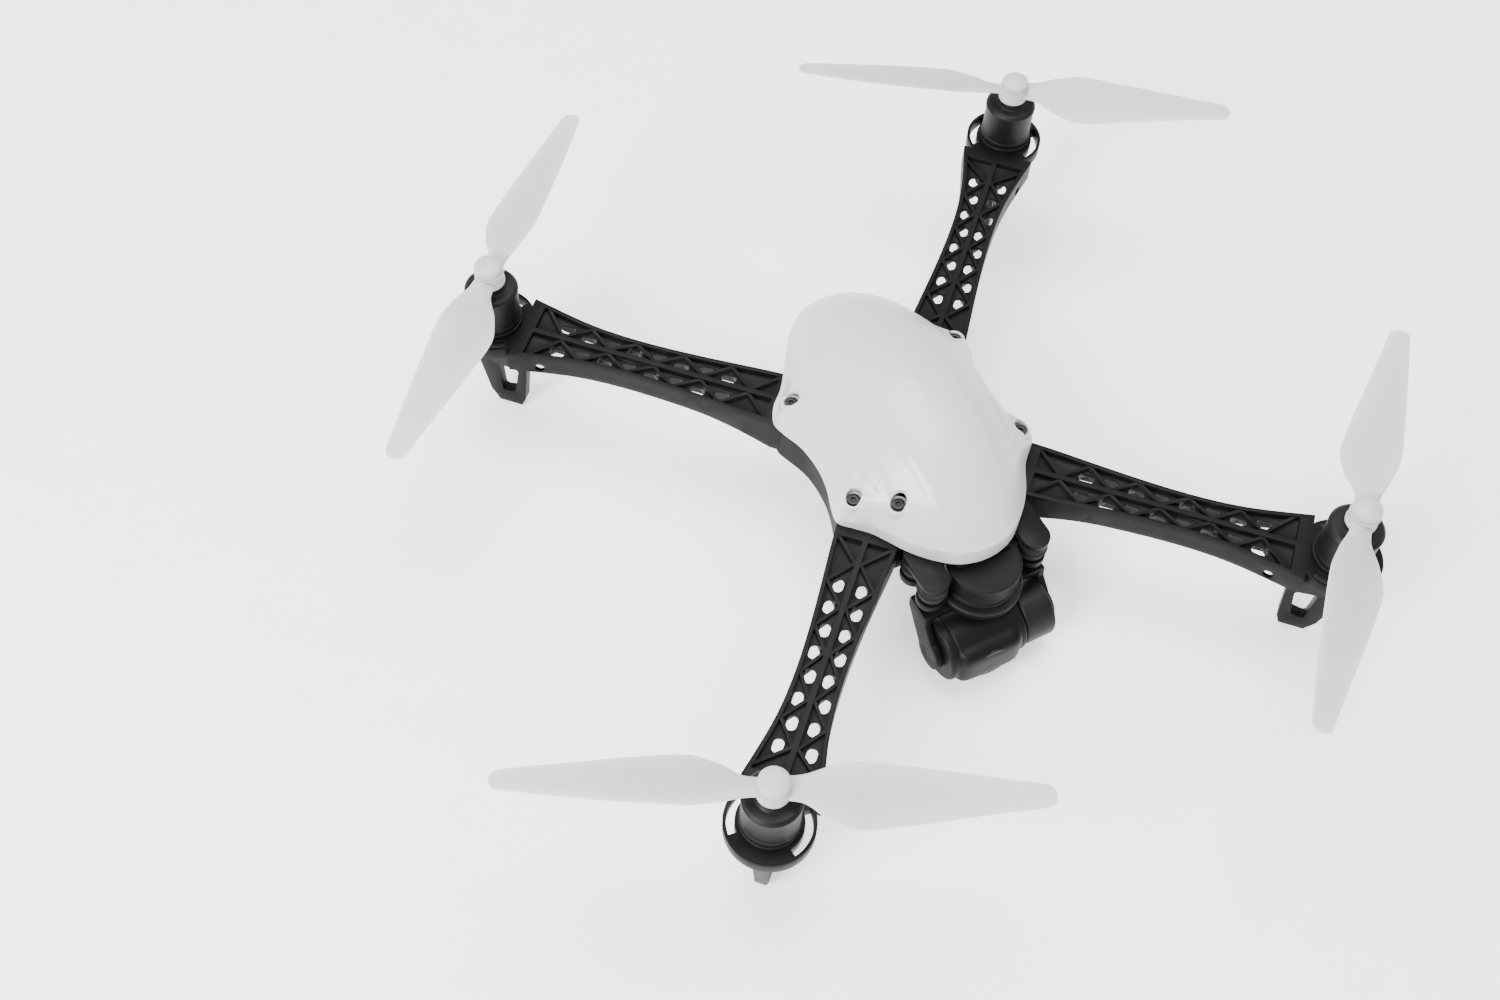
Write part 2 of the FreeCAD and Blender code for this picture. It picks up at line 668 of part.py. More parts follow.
def powerButton():
    back = batteryFront + batteryLength
    middle = hullBottom + hullFloor + bayClearance / 2 + batteryHeight / 2
    stem = Part.makeCylinder(buttonRadius, 4.6, Vector(-10.0, back - 3.8, middle), Vector(0, 1, 0))
    rim = [e for e in stem.Edges if abs(e.BoundBox.YMax - (back + 0.8)) < 1e-6 and e.BoundBox.YLength < 0.1]
    return stem.makeFillet(0.5, rim)


def deck():
    z0 = seam
    plate = roundedBox(-deckHalfWidth, deckHalfWidth, deckFront, deckRear, z0, z0 + deckThickness, 3.0)
    cableWindow = box(-8, 8, 36, 52, z0 - 1, z0 + deckThickness + 1)
    return plate.cut(cableWindow)


def board(width, length, y, z):
    plate = box(-width / 2, width / 2, y - length / 2, y + length / 2, z, z + boardThickness)
    holes = [disc(1.6, z - 1, z + boardThickness + 1, sx * standoffSpacing / 2, y + sy * standoffSpacing / 2)
             for sx in (-1, 1) for sy in (-1, 1)]
    return cutAll(plate, holes)


def standoffs(y, z0, z1):
    posts = []
    for sx in (-1, 1):
        for sy in (-1, 1):
            half = standoffSpacing / 2
            posts.append(disc(standoffRadius, z0, z1, sx * half, y + sy * half))
    return posts


def block(x, y, z, size):
    # upright block standing on z, its middle at x, y
    width, length, height = size
    return box(x - width / 2, x + width / 2, y - length / 2, y + length / 2, z, z + height)


def damperSpots():
    return [(side * damperX, y) for side in (-1, 1) for y in (frontDamperY, rearDamperY)]


def fork():
    top = forkTop
    half = [(32.4, -hullFront), (28.0, -52.5), (22.0, -46.5), (22.0, -44.0)]
    outline = half + [(-x, y) for x, y in reversed(half)]
    bar = polygonFace([(x, y, forkBottom) for x, y in outline]).extrude(Vector(0, 0, forkThickness))
    riser = box(-31, 31, -hullFront, -hullFront + 2.0, top, seam - 0.6)
    prongs = [box(side * damperX - prongHalfWidth, side * damperX + prongHalfWidth, frontDamperY,
                  -hullFront + 1, forkBottom, top) for side in (-1, 1)]
    discs = [disc(damperRadius, forkBottom, top, x, y) for x, y in damperSpots()]
    holes = [disc(smallHoleRadius, forkBottom - 1, top + 1, x, forkScrewY) for x in forkScrewSpots]
    return cutAll(fuseAll([bar, riser] + prongs + discs), holes)


def forkScrews():
    top = forkTop
    screws = []
    for x in forkScrewSpots:
        head = disc(smallHeadRadius, top, top + smallHeadHeight, x, forkScrewY)
        shank = disc(smallShankRadius, hullBottom + 0.5, top, x, forkScrewY)
        screws.append(head.fuse(shank).removeSplitter())
    return Part.makeCompound(screws)


def damperBalls():
    z0 = forkTop
    balls = []
    for x, y in damperSpots():
        neck = damperRadius - 2.6
        profile = [Part.makeLine(Vector(0, 0, z0), Vector(neck, 0, z0)),
                   Part.Arc(Vector(neck, 0, z0), Vector(damperRadius, 0, z0 + damperHeight / 2),
                            Vector(neck, 0, z0 + damperHeight)).toShape(),
                   Part.makeLine(Vector(neck, 0, z0 + damperHeight), Vector(0, 0, z0 + damperHeight)),
                   Part.makeLine(Vector(0, 0, z0 + damperHeight), Vector(0, 0, z0))]
        ball = Part.Face(Part.Wire(profile)).revolve(Vector(0, 0, 0), Vector(0, 0, 1), 360)
        ball.translate(Vector(x, y, 0))
        balls.append(ball)
    return Part.makeCompound(balls)


def floatingPlate():
    # bar over the rear dampers with three tongues forward: one to each front damper, one over the motor
    z0 = forkTop + damperHeight
    z1 = z0 + floatingPlateThickness
    r = damperRadius
    bar = roundedBox(-damperX - r, damperX + r, rearDamperY - r, rearDamperY + r, z0, z1, r - 0.01)
    tongue = box(-panTongueHalfWidth, panTongueHalfWidth, panAxisY, rearDamperY, z0, z1)
    lugs = [box(side * damperX - r, side * damperX + r, frontDamperY, rearDamperY, z0, z1)
            for side in (-1, 1)]
    ends = [disc(r, z0, z1, side * damperX, frontDamperY) for side in (-1, 1)]
    return fuseAll([bar, tongue] + lugs + ends)


def panHousing():
    z1 = forkTop + damperHeight
    z0 = panBottom
    body = disc(panHousingRadius, z0, z1, 0, panAxisY)
    rim = [e for e in body.Edges if abs(e.BoundBox.ZMax - z0) < 1e-6 and e.BoundBox.XLength > 20]
    body = body.makeFillet(1.2, rim)
    return body.cut(disc(3.0 + running, z0 - 1, z1 - 3.0, 0, panAxisY))


def panRotor():
    z1 = panBottom - panGap
    z0 = yokeTop
    body = disc(panRotorRadius, z0, z1, 0, panAxisY)
    rims = [e for e in body.Edges if e.BoundBox.ZLength < 1e-6 and e.BoundBox.XLength > 20]
    body = body.makeFillet(1.2, rims[:1])
    return body.fuse(disc(3.0, z1 - 1, z1 + 8.0, 0, panAxisY)).removeSplitter()


def yokeLegs():
    right = cameraRight - 1.0 - yokeLegThickness
    left = -cameraRight + 1.0
    return right, left


def yoke():
    z1 = yokeTop
    z0 = z1 - yokeBeamThickness
    right, left = yokeLegs()
    y0 = panAxisY - yokeBeamWidth / 2
    y1 = panAxisY + yokeBeamWidth / 2
    beam = box(right, left + yokeLegThickness, y0, y1, z0, z1)
    legs = []
    for x in (right, left):
        eye = crossDisc(9.0, x, x + yokeLegThickness, tiltAxisY, tiltAxisZ)
        strut = polygonFace([(x, y0, z1), (x, y1, z1), (x, y1, z1 - 7.0),
                             (x, tiltAxisY + 8.5, tiltAxisZ - 2.0), (x, tiltAxisY - 8.5, tiltAxisZ + 2.0),
                             (x, y0 - 1.0, z1 - 6.0)])
        legs += [eye, strut.extrude(Vector(yokeLegThickness, 0, 0))]
    frame = fuseAll([beam] + legs)
    pivot = crossDisc(3.0 + running, right - 1, right + yokeLegThickness + 1, tiltAxisY, tiltAxisZ)
    return frame.cut(pivot)


def tiltMotor():
    right, left = yokeLegs()
    body = crossDisc(tiltMotorRadius, cameraLeft + 0.4, left, tiltAxisY, tiltAxisZ)
    rims = [e for e in body.Edges if e.BoundBox.XLength < 1e-6 and e.BoundBox.YLength > 20]
    body = body.makeFillet(1.5, rims)
    clearTop = box(-60, 60, -140, -40, yokeTop - yokeBeamThickness, clearAbove)
    body = body.cut(clearTop)
    return body.cut(crossDisc(2.5 + running, cameraLeft, cameraLeft + 10.0, tiltAxisY, tiltAxisZ))


def cameraBody():
    barrel = crossDisc(cameraRadius, cameraRight, cameraLeft, tiltAxisY, tiltAxisZ)
    rims = [e for e in barrel.Edges if e.BoundBox.XLength < 1e-6 and e.BoundBox.YLength > 20]
    barrel = barrel.makeFillet(2.0, rims)
    tall = lensBlockHalfHeight
    block = box(lensX - 18.0, lensX + 18.0, lensBlockFront, tiltAxisY, tiltAxisZ - tall, tiltAxisZ + tall)
    forward = [e for e in block.Edges if abs(e.tangentAt(e.FirstParameter).y) > 0.99]
    block = block.makeFillet(6.0, forward)
    pin = crossDisc(3.0, cameraRight - 1.0 - yokeLegThickness, cameraRight + 1, tiltAxisY, tiltAxisZ)
    shaft = crossDisc(2.5, cameraLeft - 1, cameraLeft + 8.0, tiltAxisY, tiltAxisZ)
    body = fuseAll([barrel, block, pin, shaft])
    mouth = Vector(lensX, lensBlockFront - 1.0, tiltAxisZ)
    return body.cut(Part.makeCylinder(lensRadius + 1.5, 12.0, mouth, Vector(0, 1, 0)))


def lensBarrel():
    y0 = lensBlockFront + 0.6
    ring = Part.makeCylinder(lensRadius + 1.5, 10.4, Vector(lensX, y0, tiltAxisZ), Vector(0, 1, 0))
    hollow = Part.makeCylinder(lensRadius - 1.5, 6.0, Vector(lensX, y0 - 1, tiltAxisZ), Vector(0, 1, 0))
    return ring.cut(hollow)


def lensGlass():
    y0 = lensBlockFront + 0.6
    radius = lensRadius - 1.5
    slab = Part.makeCylinder(radius, 2.0, Vector(lensX, y0 + 3.0, tiltAxisZ), Vector(0, 1, 0))
    bulge = 16.0
    ball = Part.makeSphere(bulge, Vector(lensX, y0 + 1.6 + bulge, tiltAxisZ))
    front = ball.common(Part.makeCylinder(radius, 3.5, Vector(lensX, y0, tiltAxisZ), Vector(0, 1, 0)))
    return fuseAll([slab, front])


def build():
    save(canopy(), "canopy")
    save(canopyScrews(), "canopy_screws")
    armShape = arm()
    holes = canopyScrewHoles()
    for corner, (side, end) in corners.items():
        placed = placeOnArm(armShape, corner)
        near = [hole for hole in holes
                if hole.BoundBox.Center.x * side > 0 and hole.BoundBox.Center.y * end > 0]
        save(cutAll(placed, near), "arm_" + corner)
        save(placeOnMotor(statorBase(), corner, 45.0), "motor_base_" + corner)
        save(placeOnMotor(statorCore(), corner), "motor_stator_" + corner)
        save(placeOnMotor(bell(), corner), "motor_bell_" + corner)
        save(placeOnMotor(magnets(), corner), "motor_magnets_" + corner)
        turn = 1 if side * end > 0 else -1
        save(placeOnMotor(propeller(turn), corner, restAngles[corner]), "propeller_" + corner)
        save(placeOnMotor(propCap(), corner), "propeller_cap_" + corner)
    save(motorScrews(), "motor_screws")
    save(rootScrews(), "arm_screws")
    save(hull(), "lower_hull")
    save(battery(), "battery_pack")
    save(batteryCap(), "battery_cap")
    save(powerButton(), "power_button")
    save(deck(), "electronics_deck")
    deckTop = seam + deckThickness
    powerZ = deckTop + lowerStandoff
    flightZ = powerZ + boardThickness + upperStandoff
    posts = standoffs(boardsY, deckTop, powerZ) + standoffs(boardsY, powerZ + boardThickness, flightZ)
    save(Part.makeCompound(posts), "board_standoffs")
    save(board(powerBoardSize, powerBoardSize, boardsY, powerZ), "power_board")
    save(board(flightBoardWidth, flightBoardLength, boardsY, flightZ), "flight_board")
    controllers = [block(x, y, deckTop, controllerSize)
                   for x in (-controllerX, controllerX) for y in controllerRows]
    save(Part.makeCompound(controllers), "speed_controllers")
    save(block(0.0, receiverY, deckTop, receiverSize), "receiver")
    half = antennaSize / 2
    low = flightZ + boardThickness
    antenna = roundedBox(-half, half, boardsY - half, boardsY + half, low, low + antennaHeight, 3.0)
    save(antenna, "satellite_antenna")
    save(fork(), "gimbal_fork")
    save(forkScrews(), "fork_screws")
    save(damperBalls(), "damper_balls")
    save(floatingPlate(), "gimbal_plate")
    save(panHousing(), "pan_motor_housing")
    save(panRotor(), "pan_motor_rotor")
    save(yoke(), "camera_yoke")
    save(tiltMotor(), "tilt_motor")
    save(cameraBody(), "camera_body")
    save(lensBarrel(), "lens_barrel")
    save(lensGlass(), "lens_glass")


build()
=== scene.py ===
import math

import bpy
import numpy as np
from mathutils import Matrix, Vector


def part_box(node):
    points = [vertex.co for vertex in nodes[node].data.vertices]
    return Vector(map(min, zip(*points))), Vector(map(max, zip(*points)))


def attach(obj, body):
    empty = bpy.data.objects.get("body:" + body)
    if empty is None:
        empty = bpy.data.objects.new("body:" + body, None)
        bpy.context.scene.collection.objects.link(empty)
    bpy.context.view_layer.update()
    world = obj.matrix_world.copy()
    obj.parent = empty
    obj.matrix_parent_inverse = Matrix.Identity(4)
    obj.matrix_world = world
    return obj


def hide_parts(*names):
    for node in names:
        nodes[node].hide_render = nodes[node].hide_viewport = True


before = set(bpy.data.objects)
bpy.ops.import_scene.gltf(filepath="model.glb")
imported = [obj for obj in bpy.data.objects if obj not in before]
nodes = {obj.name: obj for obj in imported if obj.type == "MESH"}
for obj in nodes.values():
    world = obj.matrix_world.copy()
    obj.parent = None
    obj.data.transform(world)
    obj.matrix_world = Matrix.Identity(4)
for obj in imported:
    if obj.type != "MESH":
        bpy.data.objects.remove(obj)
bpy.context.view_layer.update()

mm = 0.001
corners = {"front_right": (-1, -1), "front_left": (1, -1), "rear_left": (1, 1), "rear_right": (-1, 1)}
print("frame loaded:", len(nodes), "nodes")


def putMesh(name, points, faces, material, smoothAngle=35.0):
    # points in metres and their faces become one object; edges sharper than the angle stay sharp
    mesh = bpy.data.meshes.new(name)
    faces = faces.tolist() if hasattr(faces, "tolist") else faces
    mesh.from_pydata(points.reshape(-1, 3).tolist(), [], faces)
    mesh.validate()
    mesh.shade_smooth()
    mesh.set_sharp_from_angle(angle=math.radians(smoothAngle))
    piece = bpy.data.objects.new(name, mesh)
    bpy.context.scene.collection.objects.link(piece)
    piece.data.materials.append(material)
    return piece


def gridFaces(rows, cols, loop=True):
    # quads between neighbouring rows; with loop, the last column joins the first
    r = np.arange(rows - 1)[:, None]
    c = np.arange(cols if loop else cols - 1)[None, :]
    n = (c + 1) % cols
    quads = np.stack([r * cols + c, r * cols + n, (r + 1) * cols + n, (r + 1) * cols + c], axis=-1)
    return quads.reshape(-1, 4)


def closedTube(rings):
    # rings is rows x cols x 3; both ends are closed by one face each
    rows, cols = rings.shape[:2]
    faces = gridFaces(rows, cols).tolist()
    faces.append(list(range(cols))[::-1])
    faces.append(list(range((rows - 1) * cols, rows * cols)))
    return rings.reshape(-1, 3), faces


def joinParts(parts):
    # several (points, faces) pairs become one pair, the face numbers shifted by the points before them
    points, faces, start = [], [], 0
    for p, f in parts:
        points.append(np.asarray(p).reshape(-1, 3))
        faces += [[i + start for i in face] for face in (f.tolist() if hasattr(f, "tolist") else f)]
        start += len(points[-1])
    return np.concatenate(points), faces


def revolve(profile, centre, turns=64, axis="z"):
    # each (radius, height) point of the profile goes round the axis: radius*cos(t), radius*sin(t), height
    profile = np.asarray(profile, float)
    t = np.linspace(0, 2 * np.pi, turns, endpoint=False)
    r, h = profile[:, 0][:, None], profile[:, 1][:, None]
    a, b, c = r * np.cos(t), r * np.sin(t), h + 0 * t
    order = {"z": (a, b, c), "x": (c, a, b), "y": (b, c, a)}[axis]
    rings = np.stack(order, axis=-1) + np.asarray(centre, float)
    return closedTube(rings)


def roundedProfile(corners2d, radius, steps=5):
    # a polyline whose inner corners are replaced by short quadratic arcs of about that radius
    pts = [np.asarray(p, float) for p in corners2d]
    out = [pts[0]]
    for before, here, after in zip(pts, pts[1:], pts[2:]):
        a, b = before - here, after - here
        la, lb = np.linalg.norm(a), np.linalg.norm(b)
        cut = min(radius, 0.45 * la, 0.45 * lb)
        p, q = here + a / la * cut, here + b / lb * cut
        s = np.linspace(0, 1, steps)[:, None]
        out += list((1 - s) ** 2 * p + 2 * s * (1 - s) * here + s ** 2 * q)
    out.append(pts[-1])
    return np.array(out)


def smoothLoop(points, count):
    # Catmull-Rom curve through a closed list of points, read at evenly spaced parameters
    p = np.asarray(points, float)
    n = len(p)
    s = np.linspace(0, n, count, endpoint=False)
    i = s.astype(int)
    t = (s - i)[:, None]
    a, b, c, d = (p[(i + k) % n] for k in (-1, 0, 1, 2))
    square, cube = 2 * a - 5 * b + 4 * c - d, 3 * b - a - 3 * c + d
    return 0.5 * (2 * b + (c - a) * t + square * t ** 2 + cube * t ** 3)


def bakeModifiers(piece):
    # the shape with its modifiers applied, as plain mesh
    graph = bpy.context.evaluated_depsgraph_get()
    mesh = bpy.data.meshes.new_from_object(piece.evaluated_get(graph))
    old = piece.data
    piece.modifiers.clear()
    piece.data = mesh
    bpy.data.meshes.remove(old)


def softEdges(piece, width, angle=32.0):
    # welds the loose triangles of a plain piece and, where a width is given, rounds its sharp edges
    weld = piece.modifiers.new("weld", "WELD")
    weld.merge_threshold = 0.00001
    if width:
        bevel = piece.modifiers.new("edges", "BEVEL")
        bevel.width = width
        bevel.segments = 2
        bevel.limit_method = "ANGLE"
        bevel.angle_limit = math.radians(angle)
    piece.data.shade_smooth()
    piece.data.set_sharp_from_angle(angle=math.radians(angle))


# materials: each one is a principled surface with its own grain, tone and bump

def startMaterial(name, colour, rough, metal=0.0):
    # a new material, its nodes, its shader, and the object coordinates that its patterns follow
    material = bpy.data.materials.new(name)
    material.use_nodes = True
    tree = material.node_tree
    shader = tree.nodes["Principled BSDF"]
    shader.inputs["Base Color"].default_value = (*colour, 1)
    shader.inputs["Roughness"].default_value = rough
    shader.inputs["Metallic"].default_value = metal
    place = tree.nodes.new("ShaderNodeTexCoord")
    return material, tree, shader, place.outputs["Object"]


def noise(tree, place, scale, detail=4.0, roughness=0.55, stretch=None):
    # a noise value at the place; stretch multiplies the place first, axis by axis
    if stretch:
        mapping = tree.nodes.new("ShaderNodeMapping")
        mapping.inputs["Scale"].default_value = stretch
        tree.links.new(place, mapping.inputs["Vector"])
        place = mapping.outputs["Vector"]
    texture = tree.nodes.new("ShaderNodeTexNoise")
    texture.inputs["Scale"].default_value = scale
    texture.inputs["Detail"].default_value = detail
    texture.inputs["Roughness"].default_value = roughness
    tree.links.new(place, texture.inputs["Vector"])
    return texture.outputs["Fac"]


def rampColour(tree, value, stops, target):
    # value 0 to 1 becomes a colour through stops of (position, colour)
    ramp = tree.nodes.new("ShaderNodeValToRGB")
    band = ramp.color_ramp
    band.elements[0].position, band.elements[0].color = stops[0][0], (*stops[0][1], 1)
    band.elements[1].position, band.elements[1].color = stops[-1][0], (*stops[-1][1], 1)
    for position, colour in stops[1:-1]:
        band.elements.new(position).color = (*colour, 1)
    tree.links.new(value, ramp.inputs["Fac"])
    tree.links.new(ramp.outputs["Color"], target)


def rangeInto(tree, value, low, high, target):
    # value 0 to 1 becomes low to high
    spread = tree.nodes.new("ShaderNodeMapRange")
    spread.inputs["To Min"].default_value = low
    spread.inputs["To Max"].default_value = high
    tree.links.new(value, spread.inputs["Value"])
    tree.links.new(spread.outputs["Result"], target)


def bumpInto(tree, shader, layers):
    # layers of (height value, distance in metres, strength), chained one on the other
    normal = None
    for value, distance, strength in layers:
        bump = tree.nodes.new("ShaderNodeBump")
        bump.inputs["Distance"].default_value = distance
        bump.inputs["Strength"].default_value = strength
        tree.links.new(value, bump.inputs["Height"])
        if normal:
            tree.links.new(normal, bump.inputs["Normal"])
        normal = bump.outputs["Normal"]
    tree.links.new(normal, shader.inputs["Normal"])


def tone(colour, factor):
    # the colour made darker or lighter by a factor
    return tuple(min(1.0, c * factor) for c in colour)


def mouldedPlastic(name, colour, rough, grain=2600.0, depth=0.00003, cloud=0.08):
    # injection moulded skin: spark-eroded grain, slow flow marks in the tone, a little handling shine
    material, tree, shader, place = startMaterial(name, colour, rough)
    flow = noise(tree, place, 38.0, 3.0, 0.5, (1.0, 1.0, 2.2))
    fine = noise(tree, place, grain, 2.0, 0.6)
    rub = noise(tree, place, 120.0, 5.0, 0.62)
    rampColour(tree, flow, [(0.3, tone(colour, 1 - cloud)), (0.52, colour), (0.72, tone(colour, 1 + cloud))],
               shader.inputs["Base Color"])
    rangeInto(tree, rub, rough - 0.07, rough + 0.09, shader.inputs["Roughness"])
    bumpInto(tree, shader, [(flow, 0.0002, 0.15), (fine, depth, 0.6)])
    shader.inputs["Specular IOR Level"].default_value = 0.1
    return material


def canopyPlastic():
    # thin white shell: satin, very slightly translucent, with faint orange peel and handling marks
    white = (0.55, 0.548, 0.555)
    material, tree, shader, place = startMaterial("canopySatinWhite", white, 0.34)
    peel = noise(tree, place, 420.0, 2.0, 0.45)
    cloud = noise(tree, place, 14.0, 3.0, 0.5)
    marks = noise(tree, place, 90.0, 6.0, 0.7, (1.0, 3.0, 1.0))
    rampColour(tree, cloud, [(0.3, tone(white, 0.972)), (0.5, white), (0.7, tone(white, 1.02))],
               shader.inputs["Base Color"])
    rangeInto(tree, marks, 0.28, 0.42, shader.inputs["Roughness"])
    bumpInto(tree, shader, [(peel, 0.00004, 0.35), (marks, 0.00001, 0.2)])
    shader.inputs["Subsurface Weight"].default_value = 0.12
    shader.inputs["Subsurface Radius"].default_value = (0.004, 0.0036, 0.0034)
    shader.inputs["Subsurface Scale"].default_value = 0.5
    shader.inputs["Coat Weight"].default_value = 0.18
    shader.inputs["Coat Roughness"].default_value = 0.2
    return material


def bladeNylon():
    # milky nylon: light glows through the thin blade, with long flow lines from the hub
    milk = (0.47, 0.47, 0.455)
    material, tree, shader, place = startMaterial("bladeNylon", milk, 0.42)
    flow = noise(tree, place, 60.0, 4.0, 0.6, (1.0, 1.0, 4.0))
    fine = noise(tree, place, 1500.0, 2.0, 0.5)
    rampColour(tree, flow, [(0.28, tone(milk, 0.96)), (0.5, milk), (0.75, tone(milk, 1.03))],
               shader.inputs["Base Color"])
    rangeInto(tree, flow, 0.36, 0.5, shader.inputs["Roughness"])
    bumpInto(tree, shader, [(flow, 0.00008, 0.2), (fine, 0.00002, 0.4)])
    shader.inputs["Subsurface Weight"].default_value = 0.35
    shader.inputs["Subsurface Radius"].default_value = (0.006, 0.0056, 0.005)
    shader.inputs["Subsurface Scale"].default_value = 0.6
    return material


def turnedMetal(name, colour, rough, metal=1.0, rings=900.0):
    # lathe-turned and anodised: fine rings square to the axis, with a patchy sheen
    material, tree, shader, place = startMaterial(name, colour, rough, metal)
    lines = noise(tree, place, rings, 2.0, 0.5, (0.02, 0.02, 1.0))
    patch = noise(tree, place, 70.0, 4.0, 0.6)
    rampColour(tree, patch, [(0.3, tone(colour, 0.8)), (0.55, colour), (0.8, tone(colour, 1.25))],
               shader.inputs["Base Color"])
    rangeInto(tree, patch, rough - 0.06, rough + 0.08, shader.inputs["Roughness"])
    bumpInto(tree, shader, [(lines, 0.00003, 0.5)])
    shader.inputs["Specular IOR Level"].default_value = 0.2
    return material


def laminatedSteel():
    # stator stack: thin sheets seen edge-on as fine level lines, lacquered
    grey = (0.30, 0.29, 0.28)
    material, tree, shader, place = startMaterial("laminatedSteel", grey, 0.38, 0.9)
    wave = tree.nodes.new("ShaderNodeTexWave")
    wave.bands_direction = "Z"
    wave.inputs["Scale"].default_value = 900.0
    tree.links.new(place, wave.inputs["Vector"])
    patch = noise(tree, place, 150.0)
    rampColour(tree, patch, [(0.3, tone(grey, 0.7)), (0.7, tone(grey, 1.2))], shader.inputs["Base Color"])
    bumpInto(tree, shader, [(wave.outputs["Fac"], 0.0001, 0.6)])
    return material


def softRubber():
    # damper rubber: matte, a trace of dust on the tone, no shine
    dark = (0.008, 0.008, 0.0083)
    material, tree, shader, place = startMaterial("damperRubber", dark, 0.7)
    dust = noise(tree, place, 260.0, 6.0, 0.7)
    rampColour(tree, dust, [(0.35, tone(dark, 0.8)), (0.6, dark), (0.85, tone(dark, 1.9))],
               shader.inputs["Base Color"])
    bumpInto(tree, shader, [(dust, 0.00005, 0.5)])
    shader.inputs["Specular IOR Level"].default_value = 0.12
    shader.inputs["Sheen Weight"].default_value = 0.04
    shader.inputs["Sheen Roughness"].default_value = 0.5
    return material


def circuitBoard():
    # green solder mask over copper tracks: square cells make the tracks, round dots the pads
    green = (0.012, 0.075, 0.035)
    material, tree, shader, place = startMaterial("solderMask", green, 0.32)
    tracks = tree.nodes.new("ShaderNodeTexBrick")
    tracks.inputs["Scale"].default_value = 160.0
    tracks.inputs["Color1"].default_value = (*green, 1)
    tracks.inputs["Color2"].default_value = (*tone(green, 1.35), 1)
    tracks.inputs["Mortar"].default_value = (0.03, 0.16, 0.07, 1)
    tracks.inputs["Mortar Size"].default_value = 0.03
    tree.links.new(place, tracks.inputs["Vector"])
    tree.links.new(tracks.outputs["Color"], shader.inputs["Base Color"])
    bumpInto(tree, shader, [(tracks.outputs["Fac"], 0.00006, 0.5)])
    return material


def shrinkWrap():
    # printed film drawn tight over the cells: long shallow wrinkles under a gloss coat
    slate = (0.05, 0.055, 0.065)
    material, tree, shader, place = startMaterial("batteryFilm", slate, 0.3)
    wrinkle = noise(tree, place, 55.0, 5.0, 0.6, (1.0, 0.15, 1.0))
    rampColour(tree, wrinkle, [(0.3, tone(slate, 0.85)), (0.7, tone(slate, 1.2))],
               shader.inputs["Base Color"])
    bumpInto(tree, shader, [(wrinkle, 0.0003, 0.35)])
    shader.inputs["Coat Weight"].default_value = 0.4
    shader.inputs["Coat Roughness"].default_value = 0.15
    return material


def lensCoating():
    # multi-coated front glass: near black, violet at a glance and green straight on
    material, tree, shader, place = startMaterial("lensCoating", (0.01, 0.01, 0.015), 0.04)
    facing = tree.nodes.new("ShaderNodeLayerWeight")
    facing.inputs["Blend"].default_value = 0.4
    rampColour(tree, facing.outputs["Facing"],
               [(0.0, (0.004, 0.02, 0.018)), (0.5, (0.03, 0.012, 0.06)), (1.0, (0.09, 0.06, 0.16))],
               shader.inputs["Base Color"])
    smear = noise(tree, place, 200.0, 4.0, 0.6)
    rangeInto(tree, smear, 0.03, 0.08, shader.inputs["Roughness"])
    shader.inputs["Coat Weight"].default_value = 1.0
    shader.inputs["Coat Roughness"].default_value = 0.02
    return material


finishes = {
    "canopy": canopyPlastic(),
    "blade": bladeNylon(),
    "arm": mouldedPlastic("armNylon", (0.0045, 0.0045, 0.0048), 0.46, 1900.0, 0.00004, cloud=0.18),
    "hull": mouldedPlastic("hullPlastic", (0.004, 0.004, 0.0043), 0.52, 2400.0, 0.00004, cloud=0.15),
    "gimbal": mouldedPlastic("gimbalPlastic", (0.0042, 0.0042, 0.0045), 0.46, 2800.0, 0.00003, cloud=0.15),
    "camera": mouldedPlastic("cameraShell", (0.005, 0.005, 0.0053), 0.42, 3200.0, 0.00002, cloud=0.2),
    "bell": turnedMetal("bellAnodised", (0.006, 0.006, 0.0065), 0.46, 0.15),
    "screw": turnedMetal("screwBlackOxide", (0.03, 0.03, 0.03), 0.4, 0.8, 2500.0),
    "core": laminatedSteel(),
    "magnet": turnedMetal("magnetPlating", (0.5, 0.5, 0.5), 0.25, 1.0, 400.0),
    "rubber": softRubber(),
    "board": circuitBoard(),
    "module": mouldedPlastic("moduleHousing", (0.03, 0.03, 0.035), 0.4),
    "ceramic": mouldedPlastic("antennaCeramic", (0.52, 0.46, 0.36), 0.55, 900.0, 0.00006),
    "standoff": turnedMetal("standoffAluminium", (0.6, 0.6, 0.6), 0.3, 1.0, 1500.0),
    "deck": mouldedPlastic("deckLaminate", (0.03, 0.03, 0.032), 0.45, 700.0, 0.00008),
    "film": shrinkWrap(),
    "button": mouldedPlastic("buttonGrey", (0.35, 0.35, 0.37), 0.4),
    "glass": lensCoating(),
}
print("materials made:", len(finishes))


# the CAD pieces that keep their shape get a finish and rounded edges: node, finish, edge radius

keptPieces = [
    ("canopy_screws", "screw", 0.0003), ("arm_screws", "screw", 0.0002), ("motor_screws", "screw", 0.0002),
    ("fork_screws", "screw", 0.0002), ("lower_hull", "hull", 0.0007), ("battery_pack", "film", 0.0),
    ("battery_cap", "hull", 0.0005), ("power_button", "button", 0.0), ("electronics_deck", "deck", 0.0002),
    ("board_standoffs", "standoff", 0.0002), ("power_board", "board", 0.0), ("flight_board", "board", 0.0),
    ("speed_controllers", "module", 0.0006), ("receiver", "module", 0.0006),
    ("satellite_antenna", "ceramic", 0.0005), ("gimbal_fork", "gimbal", 0.0006),
    ("gimbal_plate", "gimbal", 0.0008), ("camera_yoke", "gimbal", 0.0008), ("tilt_motor", "bell", 0.0),
    ("pan_motor_rotor", "bell", 0.0), ("lens_barrel", "bell", 0.0004), ("lens_glass", "glass", 0.0),
]
